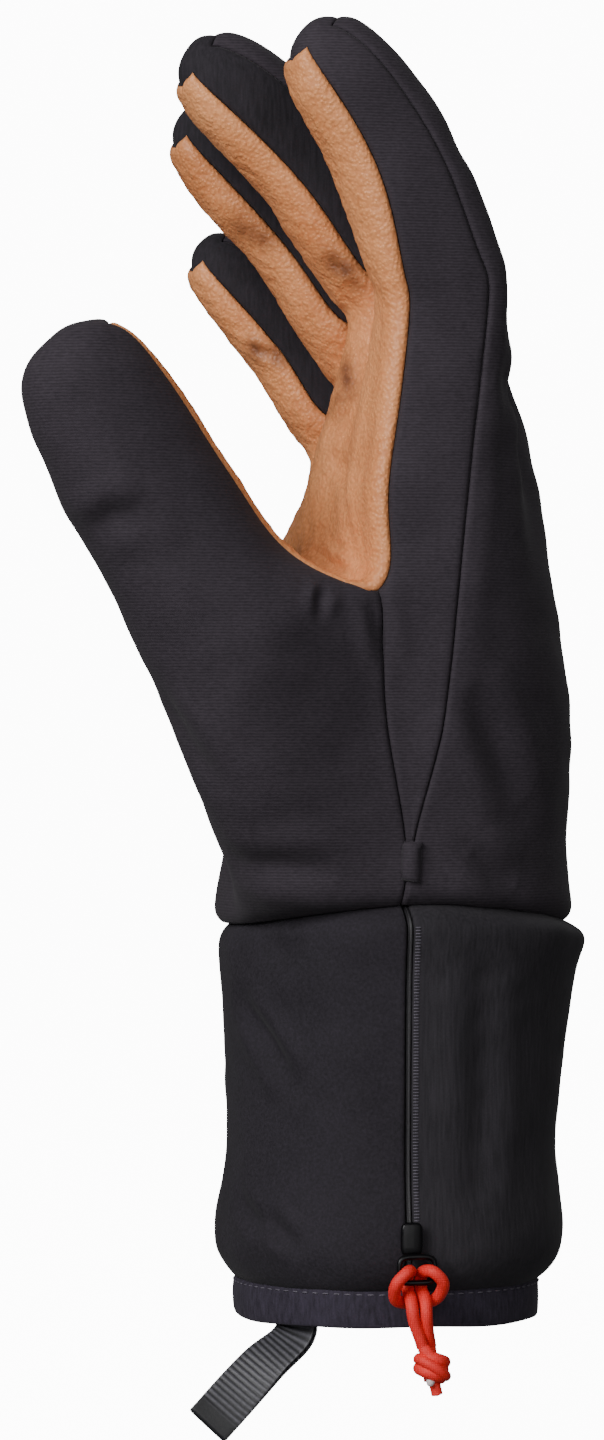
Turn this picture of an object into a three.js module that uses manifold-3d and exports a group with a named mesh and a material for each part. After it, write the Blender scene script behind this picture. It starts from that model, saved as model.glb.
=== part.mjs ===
// Heated glove for a right hand, shown as it is worn: fingers up and bent towards the palm.
// Millimetres. +Z runs from the hem to the fingertips, +X is the back of the hand, -Y the thumb side.
// The origin is the middle of the hem's opening.
import * as THREE from 'three';
import * as BufferGeometryUtils from 'three/addons/utils/BufferGeometryUtils.js';
import Module from 'manifold-3d';

// Driving dimensions
const HEM_HEIGHT = 8.4;
const HEM_DEPTH = 65;
const HEM_BREADTH = 70;
const CUFF_HEIGHT = 75;
const CUFF_DEPTH = 75;
const CUFF_BREADTH = 78;
const HAND_LENGTH = 71;
const HAND_BREADTH = 94;
const HAND_BACK_DEPTH = 35;
const HAND_PALM_DEPTH = 24;
const BACK_BULGE = 4;
const BACK_FULLNESS = 3;
const KNUCKLE_HEIGHT = 60;
const FINGER_LENGTH = 70;
const FINGER_DEPTH = 28;
const FINGER_WIDTH = 21.6;
const THUMB_LENGTH = 78;
const THUMB_WIDTH = 43;
const THUMB_DEPTH = 34;
const THUMB_SIDE = 33;
const THUMB_OFFSET = 38;
const THUMB_DROP = 12.8;
const CROTCH_BREADTH = 90;
const PALM_RISE = 6;
const PALM_HOLLOW = 2;
const BALL_FULLNESS = 0.28;
const SOFTSHELL_WALL = 2;
const LEATHER_WALL = 1.5;
const SEAM_GAP = 0.4;
const CREASE_TUCK = 3;
const CREASE_RISE = 5;
const ZIP_WIDTH = 2;
const ZIP_PLACE = -5.2;
const SLIDER_RISE = 9.3;
const SLIDER_LENGTH = 7;
const SLIDER_WIDTH = 4.6;
const SLIDER_THICKNESS = 1.8;
const SLIDER_OVERLAP = 1.8;
const SLIDER_CORNER = 1.2;
const RING_WIDTH = 8.8;
const RING_HEIGHT = 6.6;
const RING_BAR = 1.2;
const RING_SHIFT = 0.65;
const RING_CORNER = 1.5;
const RING_INNER_CORNER = 0.4;
const CORNER_STEPS = 3;
const CORD_DIAMETER = 2.6;
const CORD_SIDES = 8;
const CORD_STEPS = 48;
const KNOT_DIAMETER = 6.9;
const KNOT_SIDES = 12;
const KNOT_RINGS = 8;
const TAIL_LENGTH = 2.4;
const TAIL_DIAMETER = 2.2;
const TAIL_LEAN = -7;
const RIBBON_WIDTH = 10;
const RIBBON_THICKNESS = 0.7;
const RIBBON_FOLD_GAP = 0.5;
const RIBBON_ANGLE = -149.5;
const RIBBON_CLEARANCE = 2.4;
const RIBBON_STEPS = 7;
const SPINE_PARTS = 24;
const PASS_ROUNDS = 16;

const wasm = await Module();
wasm.setup();

const DEGREE = Math.PI / 180;
const THUMBWARD = new THREE.Vector3(0, -1, 0);
const CREASE_HEIGHT = HEM_HEIGHT + CUFF_HEIGHT;
const CROTCH_HEIGHT = CREASE_HEIGHT + HAND_LENGTH;
const PITCH = HAND_BREADTH / 4;

// Columns run round the hand, anticlockwise seen from the fingertips. Column 0 is the seam on the
// palm side of the thumb edge, column 1 the seam on its back side, 13 and 14 the little finger's edge.
const TRUNK_COLUMNS = 28;
const HAND_COLUMNS = 26;
const FIRST_BACK = 1;
const LAST_BACK = 13;
const ULNAR_SEAM = 14;
const WEB_END = 22;

// column, angle at the wrist and angle at the thumb's crotch, in degrees from the back of the hand
const COLUMN_ANGLES = [
  { column: FIRST_BACK, wrist: -97.4, crotch: -84 },
  { column: LAST_BACK, wrist: 75, crotch: 80 },
  { column: ULNAR_SEAM, wrist: 95, crotch: 98 },
  { column: WEB_END, wrist: 190, crotch: 194 },
  { column: TRUNK_COLUMNS, wrist: 259, crotch: 253 },
];

// Rows of the hand below the thumb's crotch. rise is a share of the hand's length, tuck of the crease's
// tuck, and the swell of the back and the seams' places are shares of the cuff's depth.
const TRUNK_ROWS = [
  { rise: 0.0, tuck: 1, swell: 0, palm_seam: -0.083, back_seam: -0.056 },
  { rise: 0.05, tuck: 0, swell: 0, palm_seam: -0.083, back_seam: -0.057 },
  { rise: 0.2, tuck: 0, swell: 0, palm_seam: -0.079, back_seam: -0.059 },
  { rise: 0.46, tuck: 0, swell: 0.025, palm_seam: -0.12, back_seam: -0.003 },
  { rise: 0.72, tuck: 0, swell: 0.03, palm_seam: -0.15, back_seam: 0.033 },
  { rise: 1.0, tuck: 0, swell: 0, palm_seam: -0.173, back_seam: 0.053 },
];
const LEATHER_FROM_ROW = 3;
// Heights of the rows between the thumb's crotch and the finger roots, as shares.
const HAND_ROWS = [0.3, 0.65];

// Rows of the cuff below the crease. drop is a share of the cuff's height, the outlines are shares of
// half the cuff's depth towards the palm and the back and of half its breadth.
const SLIDER_ROW_SIDE = 1.01;
const CUFF_ROWS = [
  { drop: 0.035, palm: 0.94, back: 1.14, side: 1.02 },
  { drop: 0.14, palm: 0.95, back: 1.08, side: 1.01 },
  { drop: 0.33, palm: 0.93, back: 1.02, side: 0.99 },
  { drop: 0.52, palm: 0.91, back: 0.99, side: 0.98 },
  { drop: 0.69, palm: 0.92, back: 0.99, side: 0.98 },
  { drop: 0.86, palm: 0.98, back: 1.02, side: SLIDER_ROW_SIDE },
  { drop: 0.95, palm: 0.95, back: 0.98, side: 0.98 },
  { drop: 1.0, palm: 0.88, back: 0.89, side: 0.91 },
];
// Rows of the hem band: rise as a share of its height, swell as a share of its half sizes.
const HEM_ROWS = [
  { rise: 0, swell: 0.985 },
  { rise: 0.5, swell: 1.0 },
  { rise: 1, swell: 0.995 },
];

// Finger roots, thumb side first. forward is a share of the finger's depth, up of the knuckle height,
// across and splay of the pitch, length of the finger length, depth and width of the finger's own.
// The leans are degrees towards the palm, and the seams' angles degrees from the finger's back.
const FINGERS = [
  { forward: 0.1, across: -1.49, up: 1.01, splay: -0.16, length: 0.92, depth: 1.03, width: 1.0,
    root_lean: 13, tip_lean: 45, root_palm_seam: 132, tip_palm_seam: 116, outer_back_seam: 57 },
  { forward: 0.04, across: -0.5, up: 1.04, splay: -0.08, length: 1.02, depth: 1.0, width: 1.0,
    root_lean: 29, tip_lean: 58, root_palm_seam: 120, tip_palm_seam: 120, outer_back_seam: 60 },
  { forward: 0.12, across: 0.5, up: 0.86, splay: 0.04, length: 0.99, depth: 0.98, width: 0.98,
    root_lean: 31, tip_lean: 52, root_palm_seam: 120, tip_palm_seam: 120, outer_back_seam: 60 },
  { forward: 0.12, across: 1.46, up: 0.56, splay: 0.16, length: 0.82, depth: 0.88, width: 0.9,
    root_lean: 27, tip_lean: 51, root_palm_seam: 120, tip_palm_seam: 120, outer_back_seam: 60 },
];
// Heights of the five places between and beside the fingers, as shares of the knuckle height.
const CROTCH_SHARES = [0.98, 1.08, 1.0, 0.66, 0.5];

// Rows of a finger: along is a share of its length, size of its half depth and half width, and slant
// says how much of the slope between its two crotches is left.
const FINGER_ROWS = [
  { along: 0.0, size: 1.0, slant: 1 },
  { along: 0.13, size: 1.0, slant: 0.75 },
  { along: 0.38, size: 0.97, slant: 0.25 },
  { along: 0.63, size: 0.9, slant: 0 },
  { along: 0.84, size: 0.79, slant: 0 },
  { along: 0.955, size: 0.52, slant: 0 },
];
// The two seams on a finger's little-finger side, in degrees from its back.
const INNER_BACK_SEAM = 60;
const INNER_PALM_SEAM = 120;

// Rows of the thumb: along is a share of its length, width and depth are shares of its own.
const THUMB_ROWS = [
  { along: 0.0, width: 1.0, depth: 1.0 },
  { along: 0.15, width: 0.92, depth: 0.88 },
  { along: 0.37, width: 0.81, depth: 0.78 },
  { along: 0.61, width: 0.77, depth: 0.74 },
  { along: 0.84, width: 0.68, depth: 0.66 },
  { along: 0.955, width: 0.46, depth: 0.44 },
];
const THUMB_ROOT_LEAN = 37;
const THUMB_TIP_LEAN = 29;
const THUMB_SPLAY = -12;
// Places round the thumb in degrees from the side that faces away from the fingers' bend.
const THUMB_ANGLES = [66, 90, 115, 140, 168, 200, 248, 297, 345, 390];
const WEB_COUNT = 4;

// A net of four-sided faces, each with the name of the piece that it belongs to.
function makeNet() {
  return { points: [], faces: [], pieces: [] };
}

function addPoint(net, point) {
  net.points.push(point);
  return net.points.length - 1;
}

function addFace(net, piece, corners) {
  net.faces.push(corners);
  net.pieces.push(piece);
}

function edgeKey(a, b) {
  return a < b ? `${a}_${b}` : `${b}_${a}`;
}

// For every edge of a net: its two ends and the faces on it.
function netEdges(net) {
  const edges = new Map();
  net.faces.forEach((corners, face) => {
    corners.forEach((a, i) => {
      const b = corners[(i + 1) % corners.length];
      const key = edgeKey(a, b);
      if (!edges.has(key)) {
        edges.set(key, { ends: [a, b], faces: [] });
      }
      edges.get(key).faces.push(face);
    });
  });
  return edges;
}

// The smooth surface's own points over a net's corners (the limit of Catmull-Clark subdivision).
function limitPoints(net) {
  const edges = netEdges(net);
  const sums = net.points.map(() => ({
    near: new THREE.Vector3(), far: new THREE.Vector3(), rim: new THREE.Vector3(), count: 0, rims: 0,
  }));
  for (const edge of edges.values()) {
    const [a, b] = edge.ends;
    sums[a].near.add(net.points[b]);
    sums[b].near.add(net.points[a]);
    sums[a].count += 1;
    sums[b].count += 1;
    if (edge.faces.length === 1) {
      sums[a].rim.add(net.points[b]);
      sums[b].rim.add(net.points[a]);
      sums[a].rims += 1;
      sums[b].rims += 1;
    }
  }
  for (const corners of net.faces) {
    corners.forEach((a, i) => sums[a].far.add(net.points[corners[(i + 2) % 4]]));
  }
  return net.points.map((point, i) => {
    const sum = sums[i];
    if (sum.rims > 0) {
      return point.clone().multiplyScalar(4).add(sum.rim).divideScalar(6);
    }
    const n = sum.count;
    return point.clone().multiplyScalar(n * n).addScaledVector(sum.near, 4).add(sum.far)
      .divideScalar(n * (n + 5));
  });
}

// Moves a net's corners so that its smooth surface passes through the points that it was given.
function passThroughPoints(net, rounds) {
  const aims = net.points.map((point) => point.clone());
  for (let round = 0; round < rounds; round += 1) {
    const reached = limitPoints(net);
    net.points.forEach((point, i) => point.add(aims[i]).sub(reached[i]));
  }
}

// One step of Catmull-Clark subdivision.
function subdivide(net) {
  const finer = makeNet();
  const edges = netEdges(net);
  const facePoints = net.faces.map((corners) => {
    const middle = new THREE.Vector3();
    corners.forEach((corner) => middle.add(net.points[corner]));
    return middle.divideScalar(corners.length);
  });
  const sums = net.points.map(() => ({
    faces: new THREE.Vector3(), middles: new THREE.Vector3(), rim: new THREE.Vector3(), count: 0, rims: 0,
  }));
  net.faces.forEach((corners, face) => corners.forEach((a) => sums[a].faces.add(facePoints[face])));
  const edgePoints = new Map();
  for (const [key, edge] of edges) {
    const [a, b] = edge.ends;
    const middle = net.points[a].clone().add(net.points[b]).divideScalar(2);
    for (const end of edge.ends) {
      sums[end].middles.add(middle);
      sums[end].count += 1;
      if (edge.faces.length === 1) {
        sums[end].rim.add(middle);
        sums[end].rims += 1;
      }
    }
    const place = middle.clone();
    if (edge.faces.length === 2) {
      place.multiplyScalar(2).add(facePoints[edge.faces[0]]).add(facePoints[edge.faces[1]]);
      place.divideScalar(4);
    }
    edgePoints.set(key, place);
  }
  net.points.forEach((point, i) => {
    const { faces, middles, rim, count, rims } = sums[i];
    if (rims > 0) {
      addPoint(finer, point.clone().multiplyScalar(2).add(rim).divideScalar(4));
    } else {
      const mean = faces.clone().divideScalar(count).addScaledVector(middles, 2 / count);
      addPoint(finer, mean.addScaledVector(point, count - 3).divideScalar(count));
    }
  });
  const edgeIndex = new Map();
  for (const [key, place] of edgePoints) {
    edgeIndex.set(key, addPoint(finer, place));
  }
  net.faces.forEach((corners, face) => {
    const middle = addPoint(finer, facePoints[face]);
    corners.forEach((a, i) => {
      const next = corners[(i + 1) % corners.length];
      const last = corners[(i + corners.length - 1) % corners.length];
      const after = edgeIndex.get(edgeKey(a, next));
      const before = edgeIndex.get(edgeKey(last, a));
      addFace(finer, net.pieces[face], [a, after, middle, before]);
    });
  });
  return finer;
}

// Outward directions at a net's corners.
function netNormals(net) {
  const normals = net.points.map(() => new THREE.Vector3());
  for (const corners of net.faces) {
    const [a, b, c, d] = corners.map((corner) => net.points[corner]);
    const normal = c.clone().sub(a).cross(d.clone().sub(b));
    corners.forEach((corner) => normals[corner].add(normal));
  }
  return normals.map((normal) => normal.normalize());
}

// The closed solid of one piece of a net: its faces, a wall thick inwards, its edges drawn in by half
// the seam gap.
function pieceGeometry(net, normals, piece, wall) {
  const faces = net.faces.filter((corners, face) => net.pieces[face] === piece);
  const edges = new Map();
  for (const corners of faces) {
    corners.forEach((a, i) => {
      const b = corners[(i + 1) % 4];
      edges.set(`${a}_${b}`, [a, b]);
    });
  }
  const rim = [...edges.values()].filter(([a, b]) => !edges.has(`${b}_${a}`));
  const inwards = new Map();
  for (const [a, b] of rim) {
    const along = net.points[b].clone().sub(net.points[a]);
    for (const corner of [a, b]) {
      const inward = normals[corner].clone().cross(along).normalize();
      if (!inwards.has(corner)) {
        inwards.set(corner, []);
      }
      inwards.get(corner).push(inward);
    }
  }
  const outer = new Map();
  const places = [];
  for (const corner of new Set(faces.flat())) {
    const shift = new THREE.Vector3();
    if (inwards.has(corner)) {
      inwards.get(corner).forEach((inward) => shift.add(inward));
      const spread = Math.max(shift.length() / inwards.get(corner).length, 0.5);
      shift.normalize().multiplyScalar(SEAM_GAP / 2 / spread);
    }
    const place = net.points[corner].clone().add(shift);
    outer.set(corner, places.length / 3);
    places.push(place.x, place.y, place.z);
  }
  const count = places.length / 3;
  for (const [corner, index] of outer) {
    const inner = new THREE.Vector3().fromArray(places, 3 * index).addScaledVector(normals[corner], -wall);
    places.push(inner.x, inner.y, inner.z);
  }
  const triangles = [];
  for (const corners of faces) {
    const [a, b, c, d] = corners.map((corner) => outer.get(corner));
    const [pa, pb, pc, pd] = corners.map((corner) => net.points[corner]);
    const shortFirst = pa.distanceTo(pc) <= pb.distanceTo(pd);
    for (const [i, j, k] of shortFirst ? [[a, b, c], [a, c, d]] : [[a, b, d], [b, c, d]]) {
      triangles.push(i, j, k, count + k, count + j, count + i);
    }
  }
  for (const [a, b] of rim) {
    const i = outer.get(a);
    const j = outer.get(b);
    if (a < b) {
      triangles.push(i, count + i, count + j, i, count + j, j);
    } else {
      triangles.push(i, count + i, j, count + i, count + j, j);
    }
  }
  const geometry = new THREE.BufferGeometry();
  geometry.setAttribute('position', new THREE.Float32BufferAttribute(places, 3));
  geometry.setIndex(triangles);
  return geometry;
}

// A value between the rows of a table that are listed by their key.
function between(rows, key, value, at) {
  let low = rows[0];
  for (const row of rows) {
    if (row[key] <= at) {
      low = row;
    }
  }
  const high = rows[Math.min(rows.indexOf(low) + 1, rows.length - 1)];
  const share = high === low ? 0 : (at - low[key]) / (high[key] - low[key]);
  return low[value] + (high[value] - low[value]) * share;
}

function columnAngle(column, level) {
  if (column === 0) {
    return between(COLUMN_ANGLES, 'column', level, TRUNK_COLUMNS) - 360;
  }
  return between(COLUMN_ANGLES, 'column', level, column);
}

// An oval with its own depth towards the palm and towards the back.
function oval(angle, palm, back, side, height) {
  const across = Math.cos(angle * DEGREE);
  return new THREE.Vector3(across * (across < 0 ? palm : back), side * Math.sin(angle * DEGREE), height);
}

// How much a place round the wrist looks to the thumb side.
function thumbShare(angle) {
  return Math.max(0, -Math.sin(angle * DEGREE)) ** 2;
}

function wristPoint(column, tuck) {
  const angle = columnAngle(column, 'wrist');
  const depth = CUFF_DEPTH / 2 - tuck;
  const height = CREASE_HEIGHT + CREASE_RISE * thumbShare(angle);
  return oval(angle, depth, depth + BACK_FULLNESS, CUFF_BREADTH / 2 - tuck, height);
}

// A digit's middle line: it starts at base and leans further towards the palm on its way.
function spinePoint(base, length, rootLean, tipLean, splay, share) {
  const place = base.clone();
  const step = length * share / SPINE_PARTS;
  for (let part = 0; part < SPINE_PARTS; part += 1) {
    const lean = (rootLean + (tipLean - rootLean) * share * (part + 0.5) / SPINE_PARTS) * DEGREE;
    place.x -= Math.sin(lean) * step;
    place.z += Math.cos(lean) * step;
  }
  place.y += splay * share;
  return place;
}

function fingerBase(finger) {
  const height = CROTCH_HEIGHT + finger.up * KNUCKLE_HEIGHT;
  return new THREE.Vector3(finger.forward * FINGER_DEPTH, finger.across * PITCH, height);
}

// One ring of a finger, in the order outer palm seam, outer back seam, back, inner seams, palm.
function fingerRing(index, row) {
  const finger = FINGERS[index];
  const lean = (finger.root_lean + (finger.tip_lean - finger.root_lean) * row.along) * DEGREE;
  const middle = spinePoint(fingerBase(finger), finger.length * FINGER_LENGTH, finger.root_lean,
    finger.tip_lean, finger.splay * PITCH, row.along);
  const backward = new THREE.Vector3(Math.cos(lean), 0, Math.sin(lean));
  const along = new THREE.Vector3(-Math.sin(lean), 0, Math.cos(lean));
  const half = { depth: finger.depth * FINGER_DEPTH / 2, width: finger.width * FINGER_WIDTH / 2 };
  const back = finger.outer_back_seam;
  const palm = finger.tip_palm_seam + (finger.root_palm_seam - finger.tip_palm_seam) * row.slant;
  const angles = [
    -palm, -back, -back + (back + INNER_BACK_SEAM) / 3,
    -back + (back + INNER_BACK_SEAM) * 2 / 3, INNER_BACK_SEAM, INNER_PALM_SEAM,
    INNER_PALM_SEAM + (360 - INNER_PALM_SEAM - palm) / 3,
    INNER_PALM_SEAM + (360 - INNER_PALM_SEAM - palm) * 2 / 3,
  ];
  const outerRise = (CROTCH_SHARES[index] - finger.up) * KNUCKLE_HEIGHT;
  const innerRise = (CROTCH_SHARES[index + 1] - finger.up) * KNUCKLE_HEIGHT;
  return angles.map((angle) => {
    const side = Math.sin(angle * DEGREE);
    const rise = (outerRise * (1 - side) + innerRise * (1 + side)) / 2 * row.slant;
    const place = middle.clone();
    place.addScaledVector(backward, half.depth * row.size * Math.cos(angle * DEGREE));
    place.y += half.width * row.size * side;
    return place.addScaledVector(along, rise);
  });
}

function fingertip(index) {
  const finger = FINGERS[index];
  return spinePoint(fingerBase(finger), finger.length * FINGER_LENGTH, finger.root_lean,
    finger.tip_lean, finger.splay * PITCH, 1);
}

function thumbBase() {
  return new THREE.Vector3(-THUMB_OFFSET, -THUMB_SIDE, CROTCH_HEIGHT - THUMB_DROP);
}

function thumbSpine(share) {
  return spinePoint(thumbBase(), THUMB_LENGTH, THUMB_ROOT_LEAN, THUMB_TIP_LEAN, THUMB_SPLAY, share);
}

function thumbRing(row) {
  const lean = (THUMB_ROOT_LEAN + (THUMB_TIP_LEAN - THUMB_ROOT_LEAN) * row.along) * DEGREE;
  const middle = thumbSpine(row.along);
  const fingerward = new THREE.Vector3(Math.cos(lean), 0, Math.sin(lean));
  return THUMB_ANGLES.map((angle) => {
    const place = middle.clone();
    place.addScaledVector(fingerward, row.width * THUMB_WIDTH / 2 * Math.sin(angle * DEGREE));
    return place.addScaledVector(THUMBWARD, row.depth * THUMB_DEPTH / 2 * Math.cos(angle * DEGREE));
  });
}

// The loop through the thumb's crotch: the hand's own columns, then the ball of the thumb.
function crotchLoop() {
  const thumb = thumbRing(THUMB_ROWS[0]);
  const loop = [];
  for (let column = 0; column < TRUNK_COLUMNS; column += 1) {
    if (column > WEB_END) {
      loop.push(thumb[column - WEB_END + WEB_COUNT]);
    } else {
      const angle = columnAngle(column, 'crotch');
      const palmShare = Math.max(0, column - ULNAR_SEAM) / (WEB_END - ULNAR_SEAM);
      const height = CROTCH_HEIGHT + PALM_RISE * palmShare;
      loop.push(oval(angle, HAND_PALM_DEPTH, HAND_BACK_DEPTH, CROTCH_BREADTH / 2, height));
    }
  }
  const last = TRUNK_ROWS[TRUNK_ROWS.length - 1];
  loop[0].x = last.palm_seam * CUFF_DEPTH;
  loop[FIRST_BACK].x = last.back_seam * CUFF_DEPTH;
  return loop;
}

// A swell of height 1 midway between two columns, and nothing outside them.
function hump(column, first, last) {
  return column > first && column < last ? Math.sin(Math.PI * (column - first) / (last - first)) : 0;
}

function trunkPoint(loop, column, row) {
  const wrist = wristPoint(column, row.tuck * CREASE_TUCK);
  const crotch = loop[column];
  const ball = hump(column, WEB_END, TRUNK_COLUMNS);
  const ease = row.rise ** (1 - BALL_FULLNESS * ball);
  const place = wrist.clone().lerp(crotch, ease);
  place.z = wrist.z + (crotch.z - wrist.z) * row.rise;
  place.x += row.swell * CUFF_DEPTH * hump(column, FIRST_BACK, LAST_BACK);
  if (column === 0) {
    place.x = row.palm_seam * CUFF_DEPTH;
  }
  if (column === FIRST_BACK) {
    place.x = row.back_seam * CUFF_DEPTH;
  }
  return place;
}

function gloveNet() {
  const net = makeNet();
  const loop = crotchLoop();
  const trunk = TRUNK_ROWS.map(
    (row) => loop.map((point, column) => addPoint(net, trunkPoint(loop, column, row))),
  );
  addTube(net, trunk, trunkPiece);
  const top = trunk[trunk.length - 1];

  // The web between thumb and hand
  const web = [];
  for (let step = 1; step < WEB_COUNT; step += 1) {
    web.push(addPoint(net, loop[0].clone().lerp(loop[WEB_END], step / WEB_COUNT)));
  }
  const handLoop = [...top.slice(0, WEB_END + 1), ...web.slice().reverse()];
  const thumbLoop = [top[0], ...web, ...top.slice(WEB_END)];

  // Finger roots share their seams' ends with the next finger
  const roots = new Array(HAND_COLUMNS);
  const shares = new Array(HAND_COLUMNS).fill(0);
  FINGERS.forEach((finger, index) => {
    fingerRing(index, FINGER_ROWS[0]).forEach((point, i) => {
      const column = rootColumns(index)[i];
      roots[column] = roots[column] ? roots[column].add(point) : point.clone();
      shares[column] += 1;
    });
  });
  roots.forEach((point, column) => point.divideScalar(shares[column]));
  const rootLoop = roots.map((point) => addPoint(net, point.clone()));

  // Hand between the thumb's crotch and the finger roots
  const rows = HAND_ROWS.map((share) => roots.map((point, column) => {
    const place = net.points[handLoop[column]].clone().lerp(point, share);
    const bulge = BACK_BULGE * hump(column, FIRST_BACK, LAST_BACK);
    const hollow = PALM_HOLLOW * hump(column, ULNAR_SEAM, WEB_END);
    place.x += (bulge + hollow) * Math.sin(Math.PI * share);
    return addPoint(net, place);
  }));
  addTube(net, [handLoop, ...rows, rootLoop], (row, column) => handPiece(column));

  FINGERS.forEach((finger, index) => {
    const start = rootColumns(index).map((column) => rootLoop[column]);
    const rings = FINGER_ROWS.slice(1).map((row) => fingerRing(index, row));
    addDigit(net, start, rings, fingertip(index), (column) => fingerPiece(index, column), sideStrip(index));
  });
  addDigit(net, thumbLoop, THUMB_ROWS.slice(1).map(thumbRing), thumbSpine(1),
    (column) => (column <= WEB_COUNT ? 'palm_leather' : 'thumb_panel'), 'thumb_panel');
  return net;
}

// Hand columns of a finger's root ring, in the order of fingerRing.
function rootColumns(index) {
  const back = FIRST_BACK + 3 * index;
  const outerPalm = (HAND_COLUMNS - 3 * index) % HAND_COLUMNS;
  const innerPalm = HAND_COLUMNS - 3 * index - 3;
  return [outerPalm, back, back + 1, back + 2, back + 3, innerPalm, innerPalm + 1, innerPalm + 2];
}

// Faces between closed rings of corners.
function addTube(net, rings, pieceOf) {
  for (let row = 0; row + 1 < rings.length; row += 1) {
    const low = rings[row];
    const high = rings[row + 1];
    low.forEach((corner, column) => {
      const next = (column + 1) % low.length;
      addFace(net, pieceOf(row, column), [corner, low[next], high[next], high[column]]);
    });
  }
}

function addDigit(net, start, rings, tip, pieceOf, tipPiece) {
  const corners = [start, ...rings.map((ring) => ring.map((point) => addPoint(net, point)))];
  addTube(net, corners, (row, column) => pieceOf(column));
  const low = corners[corners.length - 1];
  const pole = addPoint(net, tip);
  for (let column = 0; column < low.length; column += 2) {
    addFace(net, tipPiece, [pole, low[column], low[column + 1], low[(column + 2) % low.length]]);
  }
}

function trunkPiece(row, column) {
  if (column === 0) {
    return row < 2 ? 'back_panel' : 'index_side_panel';
  }
  if (column < ULNAR_SEAM) {
    return 'back_panel';
  }
  return row >= LEATHER_FROM_ROW && column <= WEB_END ? 'palm_leather' : 'thumb_panel';
}

function handPiece(column) {
  if (column === 0) {
    return 'index_side_panel';
  }
  return column < ULNAR_SEAM ? 'back_panel' : 'palm_leather';
}

const SIDE_STRIPS = [
  'index_side_panel', 'fourchette_index_middle', 'fourchette_middle_ring', 'fourchette_ring_little',
];

function sideStrip(index) {
  return SIDE_STRIPS[index];
}

function fingerPiece(index, column) {
  if (column === 0) {
    return sideStrip(index);
  }
  if (column < 4) {
    return 'back_panel';
  }
  if (column === 4) {
    return index === FINGERS.length - 1 ? 'back_panel' : sideStrip(index + 1);
  }
  return 'palm_leather';
}

// Cuff: a net of its own with the hand's columns, so that its zip and its seam follow on.
function cuffPoint(column, row) {
  const angle = columnAngle(column, 'wrist');
  const crease = CREASE_RISE * thumbShare(angle) * (1 - row.drop) ** 3;
  const height = HEM_HEIGHT + CUFF_HEIGHT * (1 - row.drop) + crease;
  const half = CUFF_DEPTH / 2;
  return oval(angle, row.palm * half, row.back * half, row.side * CUFF_BREADTH / 2, height);
}

function cuffPiece(column) {
  if (column === 0) {
    return 'zip_chain';
  }
  return column < ULNAR_SEAM ? 'cuff_back' : 'cuff_palm';
}

function cuffNet() {
  const net = makeNet();
  const columns = Array.from({ length: TRUNK_COLUMNS }, (unused, column) => column);
  const rings = CUFF_ROWS.slice().reverse().map((row) => columns.map((column) => cuffPoint(column, row)));
  rings.push(columns.map((column) => wristPoint(column, CREASE_TUCK)));
  for (const ring of rings) {
    ring[0].x = ZIP_PLACE - ZIP_WIDTH / 2;
    ring[FIRST_BACK].x = ZIP_PLACE + ZIP_WIDTH / 2;
  }
  const corners = rings.map((ring) => ring.map((place) => addPoint(net, place)));
  addTube(net, corners, (row, column) => cuffPiece(column));
  return net;
}

function hemPoint(angle, row) {
  const half = row.swell * HEM_DEPTH / 2;
  return oval(angle, half, half, row.swell * HEM_BREADTH / 2, row.rise * HEM_HEIGHT);
}

function hemNet() {
  const net = makeNet();
  const rings = HEM_ROWS.map((row) => {
    const ring = [];
    for (let column = 0; column < TRUNK_COLUMNS; column += 1) {
      ring.push(addPoint(net, hemPoint(column * 360 / TRUNK_COLUMNS, row)));
    }
    return ring;
  });
  addTube(net, rings, () => 'hem_band');
  return net;
}

// A strip with a flat section carried along rows, each with its place and its breadth's direction.
function stripGeometry(rows, breadth, thickness) {
  const places = [];
  const triangles = [];
  rows.forEach(({ place, across }, row) => {
    const before = rows[Math.max(row - 1, 0)].place;
    const after = rows[Math.min(row + 1, rows.length - 1)].place;
    const out = after.clone().sub(before).cross(across).normalize();
    for (const [side, depth] of [[-1, -1], [1, -1], [1, 1], [-1, 1]]) {
      const corner = place.clone().addScaledVector(across, side * breadth / 2);
      corner.addScaledVector(out, depth * thickness / 2);
      places.push(corner.x, corner.y, corner.z);
    }
  });
  for (let row = 0; row + 1 < rows.length; row += 1) {
    for (let i = 0; i < 4; i += 1) {
      const j = (i + 1) % 4;
      const low = 4 * row;
      triangles.push(low + i, low + j, low + 4 + j, low + i, low + 4 + j, low + 4 + i);
    }
  }
  const end = 4 * (rows.length - 1);
  triangles.push(0, 2, 1, 0, 3, 2, end, end + 1, end + 2, end, end + 2, end + 3);
  const geometry = new THREE.BufferGeometry();
  geometry.setAttribute('position', new THREE.Float32BufferAttribute(places, 3));
  geometry.setIndex(triangles);
  return geometry;
}

// Middle line of the ribbon loop: it leaves the inside of the hem and swings out towards the palm side.
// down is in millimetres below the hem's lower edge, out and forward are shares of the hem's half depth.
const RIBBON_ROUTE = [
  { down: -5, out: 0, forward: 0 },
  { down: 2.5, out: 0.02, forward: 0.01 },
  { down: 9, out: 0.25, forward: 0.04 },
  { down: 20.5, out: 0.6, forward: 0.07 },
];
// The ribbon's breadth runs round the hem at its top and turns to this direction at its folded end.
const RIBBON_END_BREADTH = new THREE.Vector3(0.8, -0.2, -0.57).normalize();

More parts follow.
